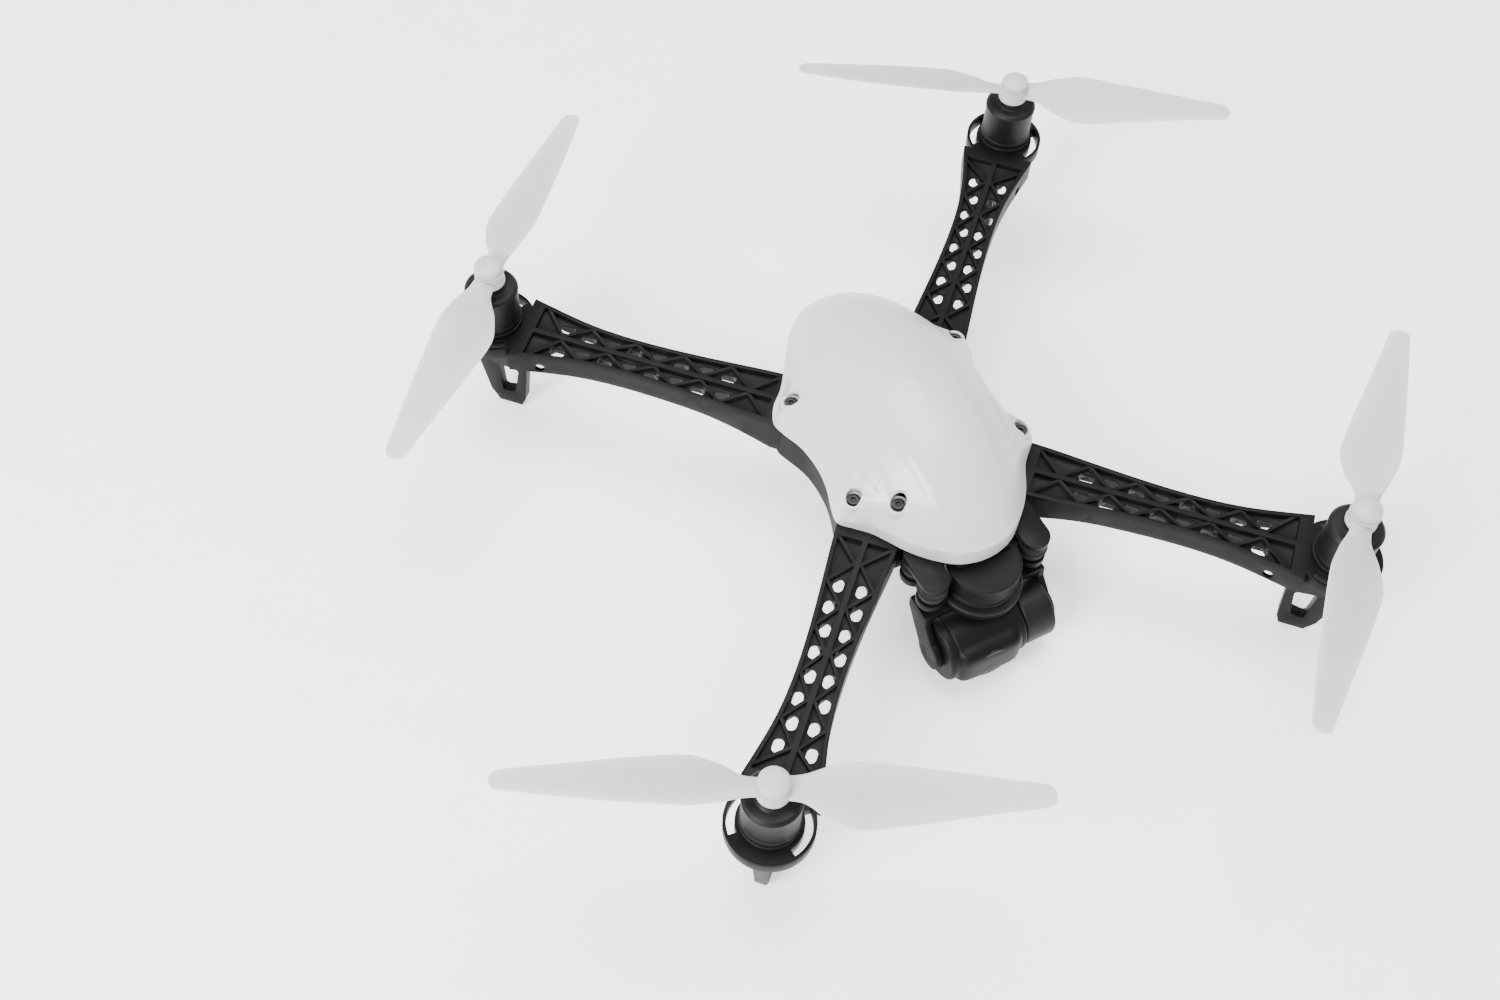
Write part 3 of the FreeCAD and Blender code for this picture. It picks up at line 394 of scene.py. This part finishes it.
for corner in corners:
    keptPieces += [("arm_" + corner, "arm", 0.00045), ("motor_base_" + corner, "bell", 0.0003),
                   ("motor_stator_" + corner, "core", 0.0), ("motor_magnets_" + corner, "magnet", 0.0)]
for name, finish, width in keptPieces:
    piece = nodes[name]
    piece.data.materials.clear()
    piece.data.materials.append(finishes[finish])
    softEdges(piece, width)
print("kept pieces finished:", len(keptPieces))


canopyShape = {
    "halfWidth": 50.5, "nose": 84.0, "tail": 89.5, "rise": 47.0, "seam": 68.0, "ear": 57.5,
    "shoulder": 22.0, "wall": 2.2,
    # lengthwise crease: distance out from the middle line, at places from nose to waist
    "creaseAt": (-84, -63, -53, -38, -14, 16), "creaseOut": (21.8, 21.6, 21.0, 22.6, 22.8, 23.5),
    "creaseEnd": 14.0,       # it fades out here
    "creaseDepth": 0.3,      # how much steeper the side falls outside the crease
    "creaseGroove": 0.55, "creaseWidth": 1.3,
    # side crease between the dome and the ears, from nose to tail
    "sideAt": (-56, -44, -33, -13, 0, 11, 22, 35, 60), "sideOut": (40, 35.5, 35, 35.5, 37, 38, 34, 30, 24),
    "sideDepth": 0.25, "sideGroove": 1.1, "sideWidth": 1.5,
    # folds in the ears and waist: points on one half, height, half width
    "folds": [([(43.5, 18), (42.4, 4), (41.2, -8), (39.6, -21), (38.4, -33), (36.5, -43)], 1.0, 1.6),
              ([(41.5, -8), (45.6, -16), (52.5, -28)], 1.4, 1.5),
              ([(45.5, 4), (47.0, -8), (50.5, -19)], -1.2, 1.9),
              ([(43.5, -14), (44.5, -24), (45.0, -32)], -0.7, 1.6)],
    "earRidge": 1.2, "earBlend": 1.8,
    "domePower": 2.3, "rimRound": 0.012, "creaseFade": 16.0, "sideFade": 12.0, "sideHalf": 52,
    "shoulderFrom": 52, "shoulderSlope": 0.45, "shoulderSag": 9, "shoulderHalf": 19, "lowest": 2.0,
    "ridgeAcross": 15.5, "ridgeWidth": 2.4, "valleyAcross": 10.5, "valleyWidth": 2.2,
    "screwAlong": 57.3, "screwSide": 11.0,
    # screw wells: the tube's wall, how far it goes under the seat, and how far its top stays under the shell
    "wellRadius": 4.0, "wellDepth": 6.0, "wellWall": 1.5, "wellFoot": 3.0, "wellTop": 3.2, "boreAbove": 12,
    # grid: points round the plan, rings outside and inside, smallest ring, and how rings gather at the rim
    "around": 288, "rings": 120, "innerRings": 34, "smallest": 0.012, "gather": 0.85,
}


def canopyPlan(count):
    # half of the plan from nose to tail, mirrored, as a smooth closed curve
    c = canopyShape
    w, e, n, t = c["halfWidth"], c["ear"], c["nose"], c["tail"]
    front = [(0, -n), (14, 3 - n), (25, 11 - n), (33.5, 20.5 - n), (39.5, 30 - n), (44.5, -46.5),
             (50.5, -40.5)]
    waist = [(e - 1, -34), (e - 1.7, -26), (w + 1.2, -13), (w - 0.3, 0), (w + 1, 14), (e - 1.9, 25.5),
             (e - 0.3, 34), (e - 4.2, 41.5)]
    back = [(45.8, 48.5), (39.2, t - 32), (32.6, t - 22.5), (24.5, t - 12), (13.5, t - 3.2), (0, t)]
    half = front + waist + back
    return smoothLoop(half + [(-x, y) for x, y in half[-2:0:-1]], count)


def softStep(value, width):
    # 0 below, growing like value above, rounded over the width
    return 0.5 * (value + np.sqrt(value ** 2 + width ** 2))


def foldHeight(side, y):
    # each fold is a bell-shaped ridge or valley about a polyline, tapered over its last 6 mm at both ends
    total = 0 * side
    for points, height, width in canopyShape["folds"]:
        path = np.asarray(points, float)
        best, end = 1e6 + 0 * side, 0 * side
        for a, b in zip(path, path[1:]):
            step = b - a
            share = np.clip(((side - a[0]) * step[0] + (y - a[1]) * step[1]) / (step @ step), 0, 1)
            away = np.hypot(side - a[0] - share * step[0], y - a[1] - share * step[1])
            best = np.minimum(best, away)
        for tip in (path[0], path[-1]):
            end = np.maximum(end, np.exp(-(np.hypot(side - tip[0], y - tip[1]) / 6.0) ** 2))
        total = total + height * np.exp(-(best / width) ** 2) * (1 - end)
    return total


def canopyHeight(x, y):
    # superellipsoid dome and four shoulders over the arms, joined by a smooth maximum. A pair of lengthwise
    # creases and a pair of side creases are grooves, outside which the dome falls a little faster
    c = canopyShape
    long = np.where(y < 0, c["nose"], c["tail"])
    reach = np.hypot(x / c["halfWidth"], y / long)
    fall = 1 - reach ** c["domePower"]
    dome = c["rise"] * np.sqrt(0.5 * (fall + np.sqrt(fall ** 2 + c["rimRound"]))) * 0.995
    side = np.abs(x)
    inner = side - np.interp(y, c["creaseAt"], c["creaseOut"])
    fade = 1 / (1 + np.exp((y - c["creaseEnd"]) / 3.0))
    beyond = np.exp(-np.maximum(inner, 0) / c["creaseFade"])
    dome = dome - c["creaseDepth"] * fade * softStep(inner, 0.5) * beyond
    dome = dome - c["creaseGroove"] * fade * np.exp(-(inner / c["creaseWidth"]) ** 2)
    outer = side - np.interp(y, c["sideAt"], c["sideOut"])
    fade = 1 / (1 + np.exp((np.abs(y - 4) - c["sideHalf"]) / 3.0))
    beyond = np.exp(-np.maximum(outer, 0) / c["sideFade"])
    dome = dome - c["sideDepth"] * fade * softStep(outer, 0.5) * beyond
    along = (side + np.abs(y)) / math.sqrt(2)
    across = (side - np.abs(y)) / math.sqrt(2)
    shoulder = c["shoulder"] - c["shoulderSlope"] * (along - c["shoulderFrom"])
    shoulder = shoulder - c["shoulderSag"] * (across / c["shoulderHalf"]) ** 4
    shoulder = shoulder - 0.2 * np.maximum(along - 57, 0) ** 2
    # a raised ridge runs down each ear on the side towards the waist, with a valley inside it
    ridge = np.exp(-((across - c["ridgeAcross"]) / c["ridgeWidth"]) ** 2)
    ridge = ridge - 0.9 * np.exp(-((across - c["valleyAcross"]) / c["valleyWidth"]) ** 2)
    shoulder = shoulder + c["earRidge"] * ridge * np.clip((along - 38) / 12, 0, 1)
    shoulder = np.maximum(shoulder, c["lowest"])
    mean, half, blend = 0.5 * (dome + shoulder), 0.5 * (dome - shoulder), c["earBlend"]
    joined = mean + np.sqrt(half ** 2 + blend ** 2) - 0.35 * blend
    joined = joined - c["sideGroove"] * fade * np.exp(-(outer / c["sideWidth"]) ** 2)
    edge = np.clip((joined - c["lowest"]) / 3.0, 0, 1)
    return c["seam"] + joined + foldHeight(side, y) * edge


def screwPlaces():
    # one on each ear, a little to the side of the arm's line, and its mirror image on the front right ear
    c = canopyShape
    wide = (c["screwAlong"] + c["screwSide"]) / math.sqrt(2)
    narrow = (c["screwAlong"] - c["screwSide"]) / math.sqrt(2)
    return [(side * wide, end * narrow) for side, end in corners.values()] + [(-narrow, -wide)]


def makeCanopy():
    # rings of the plan shrink towards the middle; each point takes its height from canopyHeight. The outer
    # rings run out to the rim, straight down to the seam, across the wall, and back in along the inside
    c = canopyShape
    plan = canopyPlan(c["around"])
    before, after = np.roll(plan, 1, axis=0), np.roll(plan, -1, axis=0)
    edge = (after - before) / np.linalg.norm(after - before, axis=1, keepdims=True)
    inside = plan - c["wall"] * np.stack([edge[:, 1], -edge[:, 0]], axis=-1)

    def sheet(outline, count, drop):
        # the outline times each share, at the height of the canopy less the drop
        share = np.linspace(c["smallest"], 1.0, count) ** c["gather"]
        x, y = (share[:, None, None] * outline[None]).transpose(2, 0, 1)
        return np.stack([x, y, canopyHeight(x, y) - drop], axis=-1)

    def wallBetween(rim, levels):
        # the rim lowered in steps: level 0 is its own height, level 1 the seam
        ring = np.repeat(rim[None], len(levels), axis=0)
        ring[..., 2] = rim[None, :, 2] * (1 - levels)[:, None] + c["seam"] * levels[:, None]
        return ring

    top = sheet(plan, c["rings"], 0.0)
    under = sheet(inside, c["innerRings"], 1.1 * c["wall"])
    outerWall = wallBetween(top[-1], np.array([0.06, 0.25, 0.5, 0.75, 1.0]))
    innerWall = wallBetween(under[-1], np.array([1.0, 0.5]))
    grid = np.concatenate([top, outerWall, innerWall, under[::-1]])
    points, faces = closedTube(grid)
    shell = putMesh("canopyShell", points * mm, faces, finishes["canopy"], 40)
    shell.data.flip_normals()
    print("canopy shell:", len(shell.data.polygons), "faces")
    return shell


def cutWells(shell):
    # a tube joins the shell at every screw, and a bore opens it from above
    c = canopyShape
    tubes, bores = [], []
    for x, y in screwPlaces():
        top = float(canopyHeight(np.array(x), np.array(y)))
        seat = top - c["wellDepth"]
        inner, outer = c["wellRadius"], c["wellRadius"] + c["wellWall"]
        tubes.append(revolve([(outer, seat - c["wellFoot"]), (outer, top - c["wellTop"])], (x, y, 0), 40))
        bores.append(revolve([(inner, seat), (inner, top + c["boreAbove"])], (x, y, 0), 40))
    for name, parts, operation in (("tubes", tubes, "UNION"), ("bores", bores, "DIFFERENCE")):
        points, faces = joinParts(parts)
        tool = putMesh("canopy_" + name, points * mm, faces, finishes["canopy"])
        change = shell.modifiers.new(name, "BOOLEAN")
        change.operation = operation
        change.object = tool
        change.solver = "EXACT"
        bakeModifiers(shell)
        bpy.data.objects.remove(tool)
    shell.data.shade_smooth()
    shell.data.set_sharp_from_angle(angle=math.radians(40))


canopy = makeCanopy()
cutWells(canopy)
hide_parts("canopy")
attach(canopy, "airframe")
print("canopy done")


propShape = {
    "radius": 122.0, "tipLength": 8.0, "root": 5.0, "height": 104.0,
    "camber": 0.16, "upperShare": 0.5, "lowerShare": 0.36,
    # hub from its foot to its top: radius, height
    "hub": [(5.6, -5.0), (7.8, -5.0), (7.8, -2.8), (7.1, -2.1), (7.4, 1.4), (7.8, 2.0), (7.8, 3.0),
            (6.3, 3.0)],
    # radius, chord, pitch, thickness, trailing offset
    "stations": [(5, 10.5, 14, 3.4, 0), (12, 12, 16, 3.2, 0), (24, 22.5, 18, 2.6, 1.6),
                 (38, 29, 18, 2.0, 2.6), (60, 25, 15, 1.6, 2.0), (85, 18.8, 11.5, 1.3, 1.0),
                 (106, 13.4, 9, 1.1, 0.4), (122, 9.6, 8, 0.9, 0.0)],
    "angles": {"front_right": 152.0, "front_left": 43.0, "rear_left": 146.5, "rear_right": 45.5},
}


def smoothBetween(x, xs, ys):
    # monotone cubic through the stations: slopes are the harmonic mean of the neighbouring chords
    xs, ys = np.asarray(xs, float), np.asarray(ys, float)
    h, d = np.diff(xs), np.diff(ys) / np.diff(xs)
    m = np.zeros_like(ys)
    same = d[:-1] * d[1:] > 0
    m[1:-1][same] = 2 * d[:-1][same] * d[1:][same] / (d[:-1][same] + d[1:][same])
    m[0], m[-1] = d[0], d[-1]
    i = np.clip(np.searchsorted(xs, x, side="right") - 1, 0, len(h) - 1)
    t = (x - xs[i]) / h[i]
    return ((2 * t ** 3 - 3 * t ** 2 + 1) * ys[i] + (t ** 3 - 2 * t ** 2 + t) * h[i] * m[i]
            + (-2 * t ** 3 + 3 * t ** 2) * ys[i + 1] + (t ** 3 - t ** 2) * h[i] * m[i + 1])


def bladeSurface(turn):
    # a section goes round the blade: along the chord it is a cosine, across it a thick upper and a thin
    # lower curve; pitch turns each section, and the tip closes on a rounded square
    p = propShape
    xs, chords, pitches, thicks, trails = zip(*p["stations"])
    tip = p["radius"] - p["tipLength"]
    r = np.concatenate([np.linspace(p["root"], tip, 70),
                        tip + p["tipLength"] * np.sin(np.linspace(0.06, np.pi / 2, 14))])
    chord = smoothBetween(r, xs, chords)
    close = np.clip((r - tip) / p["tipLength"], 0, 1)
    chord = chord * np.sqrt(np.clip(1 - close ** 5, 0.002, 1))
    pitch = np.radians(smoothBetween(r, xs, pitches))
    thick = smoothBetween(r, xs, thicks) * np.sqrt(np.clip(1 - close ** 4, 0.01, 1))
    trail = smoothBetween(r, xs, trails)
    a = np.linspace(0, 2 * np.pi, 36, endpoint=False)
    along = 0.5 * np.cos(a)
    upper = np.sin(a) > 0
    camber = p["camber"] * (0.25 - along ** 2) * 4
    depth = np.sqrt(np.clip(1 - (2 * along) ** 2, 0, 1)) * (0.75 + 0.45 * along)
    up = np.where(upper, camber + p["upperShare"] * depth, camber - p["lowerShare"] * depth)
    ax, uz = chord[:, None] * along[None], thick[:, None] * up[None]
    cosP, sinP = np.cos(pitch)[:, None], np.sin(pitch)[:, None]
    y = turn * (ax * cosP - uz * sinP - trail[:, None])
    z = ax * sinP + uz * cosP
    rings = np.stack([r[:, None] + 0 * y, y, z], axis=-1)
    if turn < 0:
        rings = rings[:, ::-1]
    return rings


def spinAbout(points, degrees):
    # turns points about the upright axis through the origin
    angle = math.radians(degrees)
    turned = np.array(points, float)
    x, y = turned[..., 0].copy(), turned[..., 1].copy()
    turned[..., 0] = x * math.cos(angle) - y * math.sin(angle)
    turned[..., 1] = x * math.sin(angle) + y * math.cos(angle)
    return turned


def middleAndSize(node):
    # centre, radius, bottom and top of an upright round piece, in mm, read from its box
    low, high = ([v / mm for v in end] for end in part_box(node))
    return (low[0] + high[0]) / 2, (low[1] + high[1]) / 2, (high[0] - low[0]) / 2, low[2], high[2]


def makePropeller(corner):
    # a turned hub and two blades half a turn apart; opposite corners share the same hand
    p = propShape
    side, end = corners[corner]
    turn = 1 if side * end > 0 else -1
    blade = bladeSurface(turn)
    parts = [revolve(roundedProfile(p["hub"], 0.5), (0, 0, 0), 56)]
    for degrees in (0, 180):
        rings = spinAbout(blade, degrees)
        parts.append(closedTube(rings))
    points, faces = joinParts(parts)
    x, y = middleAndSize("propeller_cap_" + corner)[:2]
    points = spinAbout(points, p["angles"][corner]) + np.array([x, y, p["height"]])
    piece = putMesh("propeller-" + corner, points * mm, faces, finishes["blade"], 50)
    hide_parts("propeller_" + corner)
    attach(piece, "rotor_" + corner)


# skirt: inset from the cap's radius, height; a dome stands on it
capShape = {"skirt": [(0.6, 0.0), (0, 0.4), (0, 1.2), (0.35, 1.45), (0.35, 1.75), (0, 2.0), (0, 3.2)],
            "domeFrom": 3.3}


def makeCap(corner):
    # moulded nut: a low skirt with a shallow groove, then a dome that is a quarter ellipse
    x, y, wide, low, high = middleAndSize("propeller_cap_" + corner)
    start = capShape["domeFrom"]
    rise = high - low - start
    dome = [(wide * math.cos(t), start + rise * math.sin(t)) for t in np.linspace(0.15, 1.5, 12)]
    profile = [(wide - inset, height) for inset, height in capShape["skirt"]] + dome
    points, faces = revolve(profile, (x, y, low), 48)
    piece = putMesh("propellerCap-" + corner, points * mm, faces, finishes["blade"], 40)
    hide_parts("propeller_cap_" + corner)
    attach(piece, "rotor_" + corner)


for corner in corners:
    makePropeller(corner)
    makeCap(corner)
print("propellers done")


bellShape = {
    # can: inset from its radius, height above the ground
    "can": [(1.6, 71.7), (0, 71.7), (0, 74.0), (0.35, 74.5), (0.35, 91.6), (0, 92.2), (0, 93.6), (1.6, 95.0)],
    # crown under the hub: radius, height
    "crown": [(8.2, 95.0), (7.2, 95.8), (6.0, 96.2), (6.0, 98.9), (2.6, 98.9)],
    "cornerRadius": 0.4,
}


def makeBell(corner):
    # can with a flared foot, a slightly smaller waist and a stepped crown, turned about the motor's axis
    x, y, wide = middleAndSize("motor_bell_" + corner)[:3]
    can = [(wide - inset, height) for inset, height in bellShape["can"]]
    profile = roundedProfile(can + bellShape["crown"], bellShape["cornerRadius"])
    points, faces = revolve(profile, (x, y, 0), 72)
    piece = putMesh("motorBell-" + corner, points * mm, faces, finishes["bell"], 40)
    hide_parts("motor_bell_" + corner)
    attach(piece, "rotor_" + corner)


for corner in corners:
    makeBell(corner)
print("motors done")


damperShape = {"radius": 7.5, "neck": 5.3, "folds": 3, "foldDepth": 0.3}


def makeDampers():
    # barrel: the radius swells with the sine of the height, less a ripple that makes the folds
    low, high = ([v / mm for v in end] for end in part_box("damper_balls"))
    wide, tall = damperShape["radius"], high[2] - low[2]
    t = np.linspace(0, 1, 40)
    neck = damperShape["neck"]
    folds = damperShape["foldDepth"] * np.sin(np.pi * t) * np.cos(2 * np.pi * damperShape["folds"] * t)
    radius = neck + (wide - neck) * np.sin(np.pi * t) ** 0.8 - folds
    profile = np.stack([radius, t * tall], axis=-1)
    places = [(x, y) for x in (low[0] + wide, high[0] - wide) for y in (low[1] + wide, high[1] - wide)]
    points, faces = joinParts([revolve(profile, (x, y, low[2]), 48) for x, y in places])
    piece = putMesh("damperBalls", points * mm, faces, finishes["rubber"], 50)
    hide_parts("damper_balls")
    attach(piece, "airframe")


# inset from the drum's radius, then height up from its foot or down from its top
panShape = {"foot": [(4, 0), (0.4, 0), (0, 0.8), (0, 3.0), (0.9, 3.8)],
            "head": [(0.9, 4.2), (0, 3.2), (0, 0.1), (3, 0.1)], "cornerRadius": 0.7}


def makePanHousing():
    # drum with a stepped waist and a rolled lower rim, turned about the pan axis
    x, y, wide, low, high = middleAndSize("pan_motor_housing")
    profile = [(wide - inset, low + up) for inset, up in panShape["foot"]]
    profile += [(wide - inset, high - down) for inset, down in panShape["head"]]
    points, faces = revolve(roundedProfile(profile, panShape["cornerRadius"]), (x, y, 0), 96)
    piece = putMesh("panHousing", points * mm, faces, finishes["gimbal"], 40)
    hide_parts("pan_motor_housing")
    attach(piece, "airframe")


cameraShape = {
    "radius": 17.0, "right": -30.5, "left": 14.0, "axisHeight": 20.5, "endRound": 2.0,
    "blockFrom": -26.5, "blockTo": 10.5, "front": 19.5, "halfTall": 13.5,
    "squareness": 5.0,       # power of the lens block's superellipse
    "roundness": 7.0,        # how abruptly the block stops at its sides
    "grooveFrom": 5.2, "grooveDepth": 0.7, "grooveWidth": 0.5,
    "yokePin": 3.0, "yokePinOut": 4.5, "motorPin": 2.5, "motorPinOut": 8.0, "pinInside": 1.0,
}


def makeCamera():
    # a barrel along X; in its middle the section swells forward into a rounded square lens block:
    # the radius at each angle is a smooth maximum of the circle and of a superellipse in front
    c = cameraShape
    low, high = ([v / mm for v in end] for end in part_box("tilt_motor"))
    axisY, axisZ = (low[1] + high[1]) / 2, c["axisHeight"]
    t = np.linspace(0, 2 * np.pi, 120, endpoint=False)
    forward, upward = np.cos(t), np.sin(t)
    ends = 1.8 * (1 - np.cos(np.linspace(0, np.pi / 2, 7)))
    x = np.concatenate([c["right"] + ends, np.linspace(c["right"] + 2.4, c["left"] - 2.4, 92),
                        (c["left"] - ends)[::-1]])
    edge = np.minimum(x - c["right"], c["left"] - x)
    inward = 1 - np.clip(edge / c["endRound"], 0, 1)
    shrink = c["endRound"] * (1 - np.sqrt(np.clip(1 - inward ** 2, 0, 1)))
    groove = c["grooveDepth"] * np.exp(-((x - (c["right"] + c["grooveFrom"])) / c["grooveWidth"]) ** 2)
    circle = c["radius"] - shrink - groove
    power = c["squareness"]
    block = 1.0 / ((np.clip(forward, 1e-3, 1) / c["front"]) ** power
                   + (np.abs(upward) / c["halfTall"]) ** power) ** (1 / power)
    block = np.where(forward > 0, block, c["halfTall"])
    mid, span = 0.5 * (c["blockFrom"] + c["blockTo"]), 0.5 * (c["blockTo"] - c["blockFrom"])
    weight = np.clip(1 - np.abs((x - mid) / span) ** c["roundness"], 0, 1) ** (1 / c["roundness"])
    swell = block[None] * weight[:, None] * np.clip(forward, 0, 1)[None] ** 0.05
    a, b = circle[:, None] + 0 * swell, swell
    radius = 0.5 * (a + b + np.sqrt((a - b) ** 2 + 0.4))
    rings = np.stack([x[:, None] + 0 * radius, axisY - radius * forward, axisZ + radius * upward], axis=-1)
    points, faces = closedTube(rings[:, ::-1])
    spans = [(c["yokePin"], c["right"] - c["yokePinOut"], c["right"] + c["pinInside"]),
             (c["motorPin"], c["left"] - c["pinInside"], c["left"] + c["motorPinOut"])]
    pins = [revolve([(pin, start), (pin, stop)], (0, axisY, axisZ), 32, "x") for pin, start, stop in spans]
    points, faces = joinParts([(points, faces)] + pins)
    piece = putMesh("cameraBody", points * mm, faces, finishes["camera"], 45)
    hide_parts("camera_body")
    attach(piece, "camera_tilt")


makeDampers()
makePanHousing()
makeCamera()
print("gimbal done")


stageShape = {
    "halfSize": 6.0, "level": -0.0005, "floorTone": (0.92, 0.93, 0.94), "floorGlow": 0.8, "skyStrength": 1.05,
    # name, place, aim, size in metres, power in watts
    "lights": [("keyFromRight", (-1.5, -0.5, 1.3), (0, 0, 0.05), 0.9, 70.0),
               ("topSoft", (0.2, 0.5, 2.4), (0, 0, 0.1), 1.6, 80.0)],
    "lens": 41.8, "viewPlace": (-0.328, -0.418, 0.793), "viewTurn": (33.4, -1.9, -27.0),
}


def makeStage():
    # a square floor just under the feet, glowing a little as a lit table does, in an even white room
    size, level = stageShape["halfSize"], stageShape["level"]
    points = np.array([(-size, -size, level), (size, -size, level),
                       (size, size, level), (-size, size, level)])
    dark, middle, light = ((v, v, v) for v in stageShape["floorTone"])
    pale, tree, shader, place = startMaterial("paleFloor", middle, 0.8)
    speckle = noise(tree, place, 30.0, 3.0)
    rampColour(tree, speckle, [(0.3, dark), (0.7, light)], shader.inputs["Base Color"])
    shader.inputs["Emission Color"].default_value = (1.0, 1.0, 1.0, 1)
    shader.inputs["Emission Strength"].default_value = stageShape["floorGlow"]
    floor = putMesh("floor", points, np.array([[0, 1, 2, 3]]), pale)
    world = bpy.data.worlds.new("studio")
    bpy.context.scene.world = world
    world.use_nodes = True
    sky = world.node_tree.nodes["Background"]
    sky.inputs["Color"].default_value = (1.0, 1.0, 1.0, 1)
    sky.inputs["Strength"].default_value = stageShape["skyStrength"]


def addLight(name, place, target, size, power):
    # a round area light aimed from its place at the target
    data = bpy.data.lights.new(name, "AREA")
    data.shape = "DISK"
    data.size = size
    data.energy = power
    light = bpy.data.objects.new(name, data)
    light.location = place
    aim = np.array(target) - np.array(place)
    light.rotation_euler = Vector(aim).to_track_quat("-Z", "Y").to_euler()
    bpy.context.scene.collection.objects.link(light)


def makeCameraView():
    # the view from above and in front of the craft's right side
    data = bpy.data.cameras.new("view")
    data.lens = stageShape["lens"]
    data.sensor_width = 36.0
    data.clip_start = 0.01
    data.clip_end = 50.0
    view = bpy.data.objects.new("view", data)
    view.location = stageShape["viewPlace"]
    view.rotation_euler = [math.radians(v) for v in stageShape["viewTurn"]]
    bpy.context.scene.collection.objects.link(view)
    bpy.context.scene.camera = view


makeStage()
for light in stageShape["lights"]:
    addLight(*light)
makeCameraView()
print("stage done")
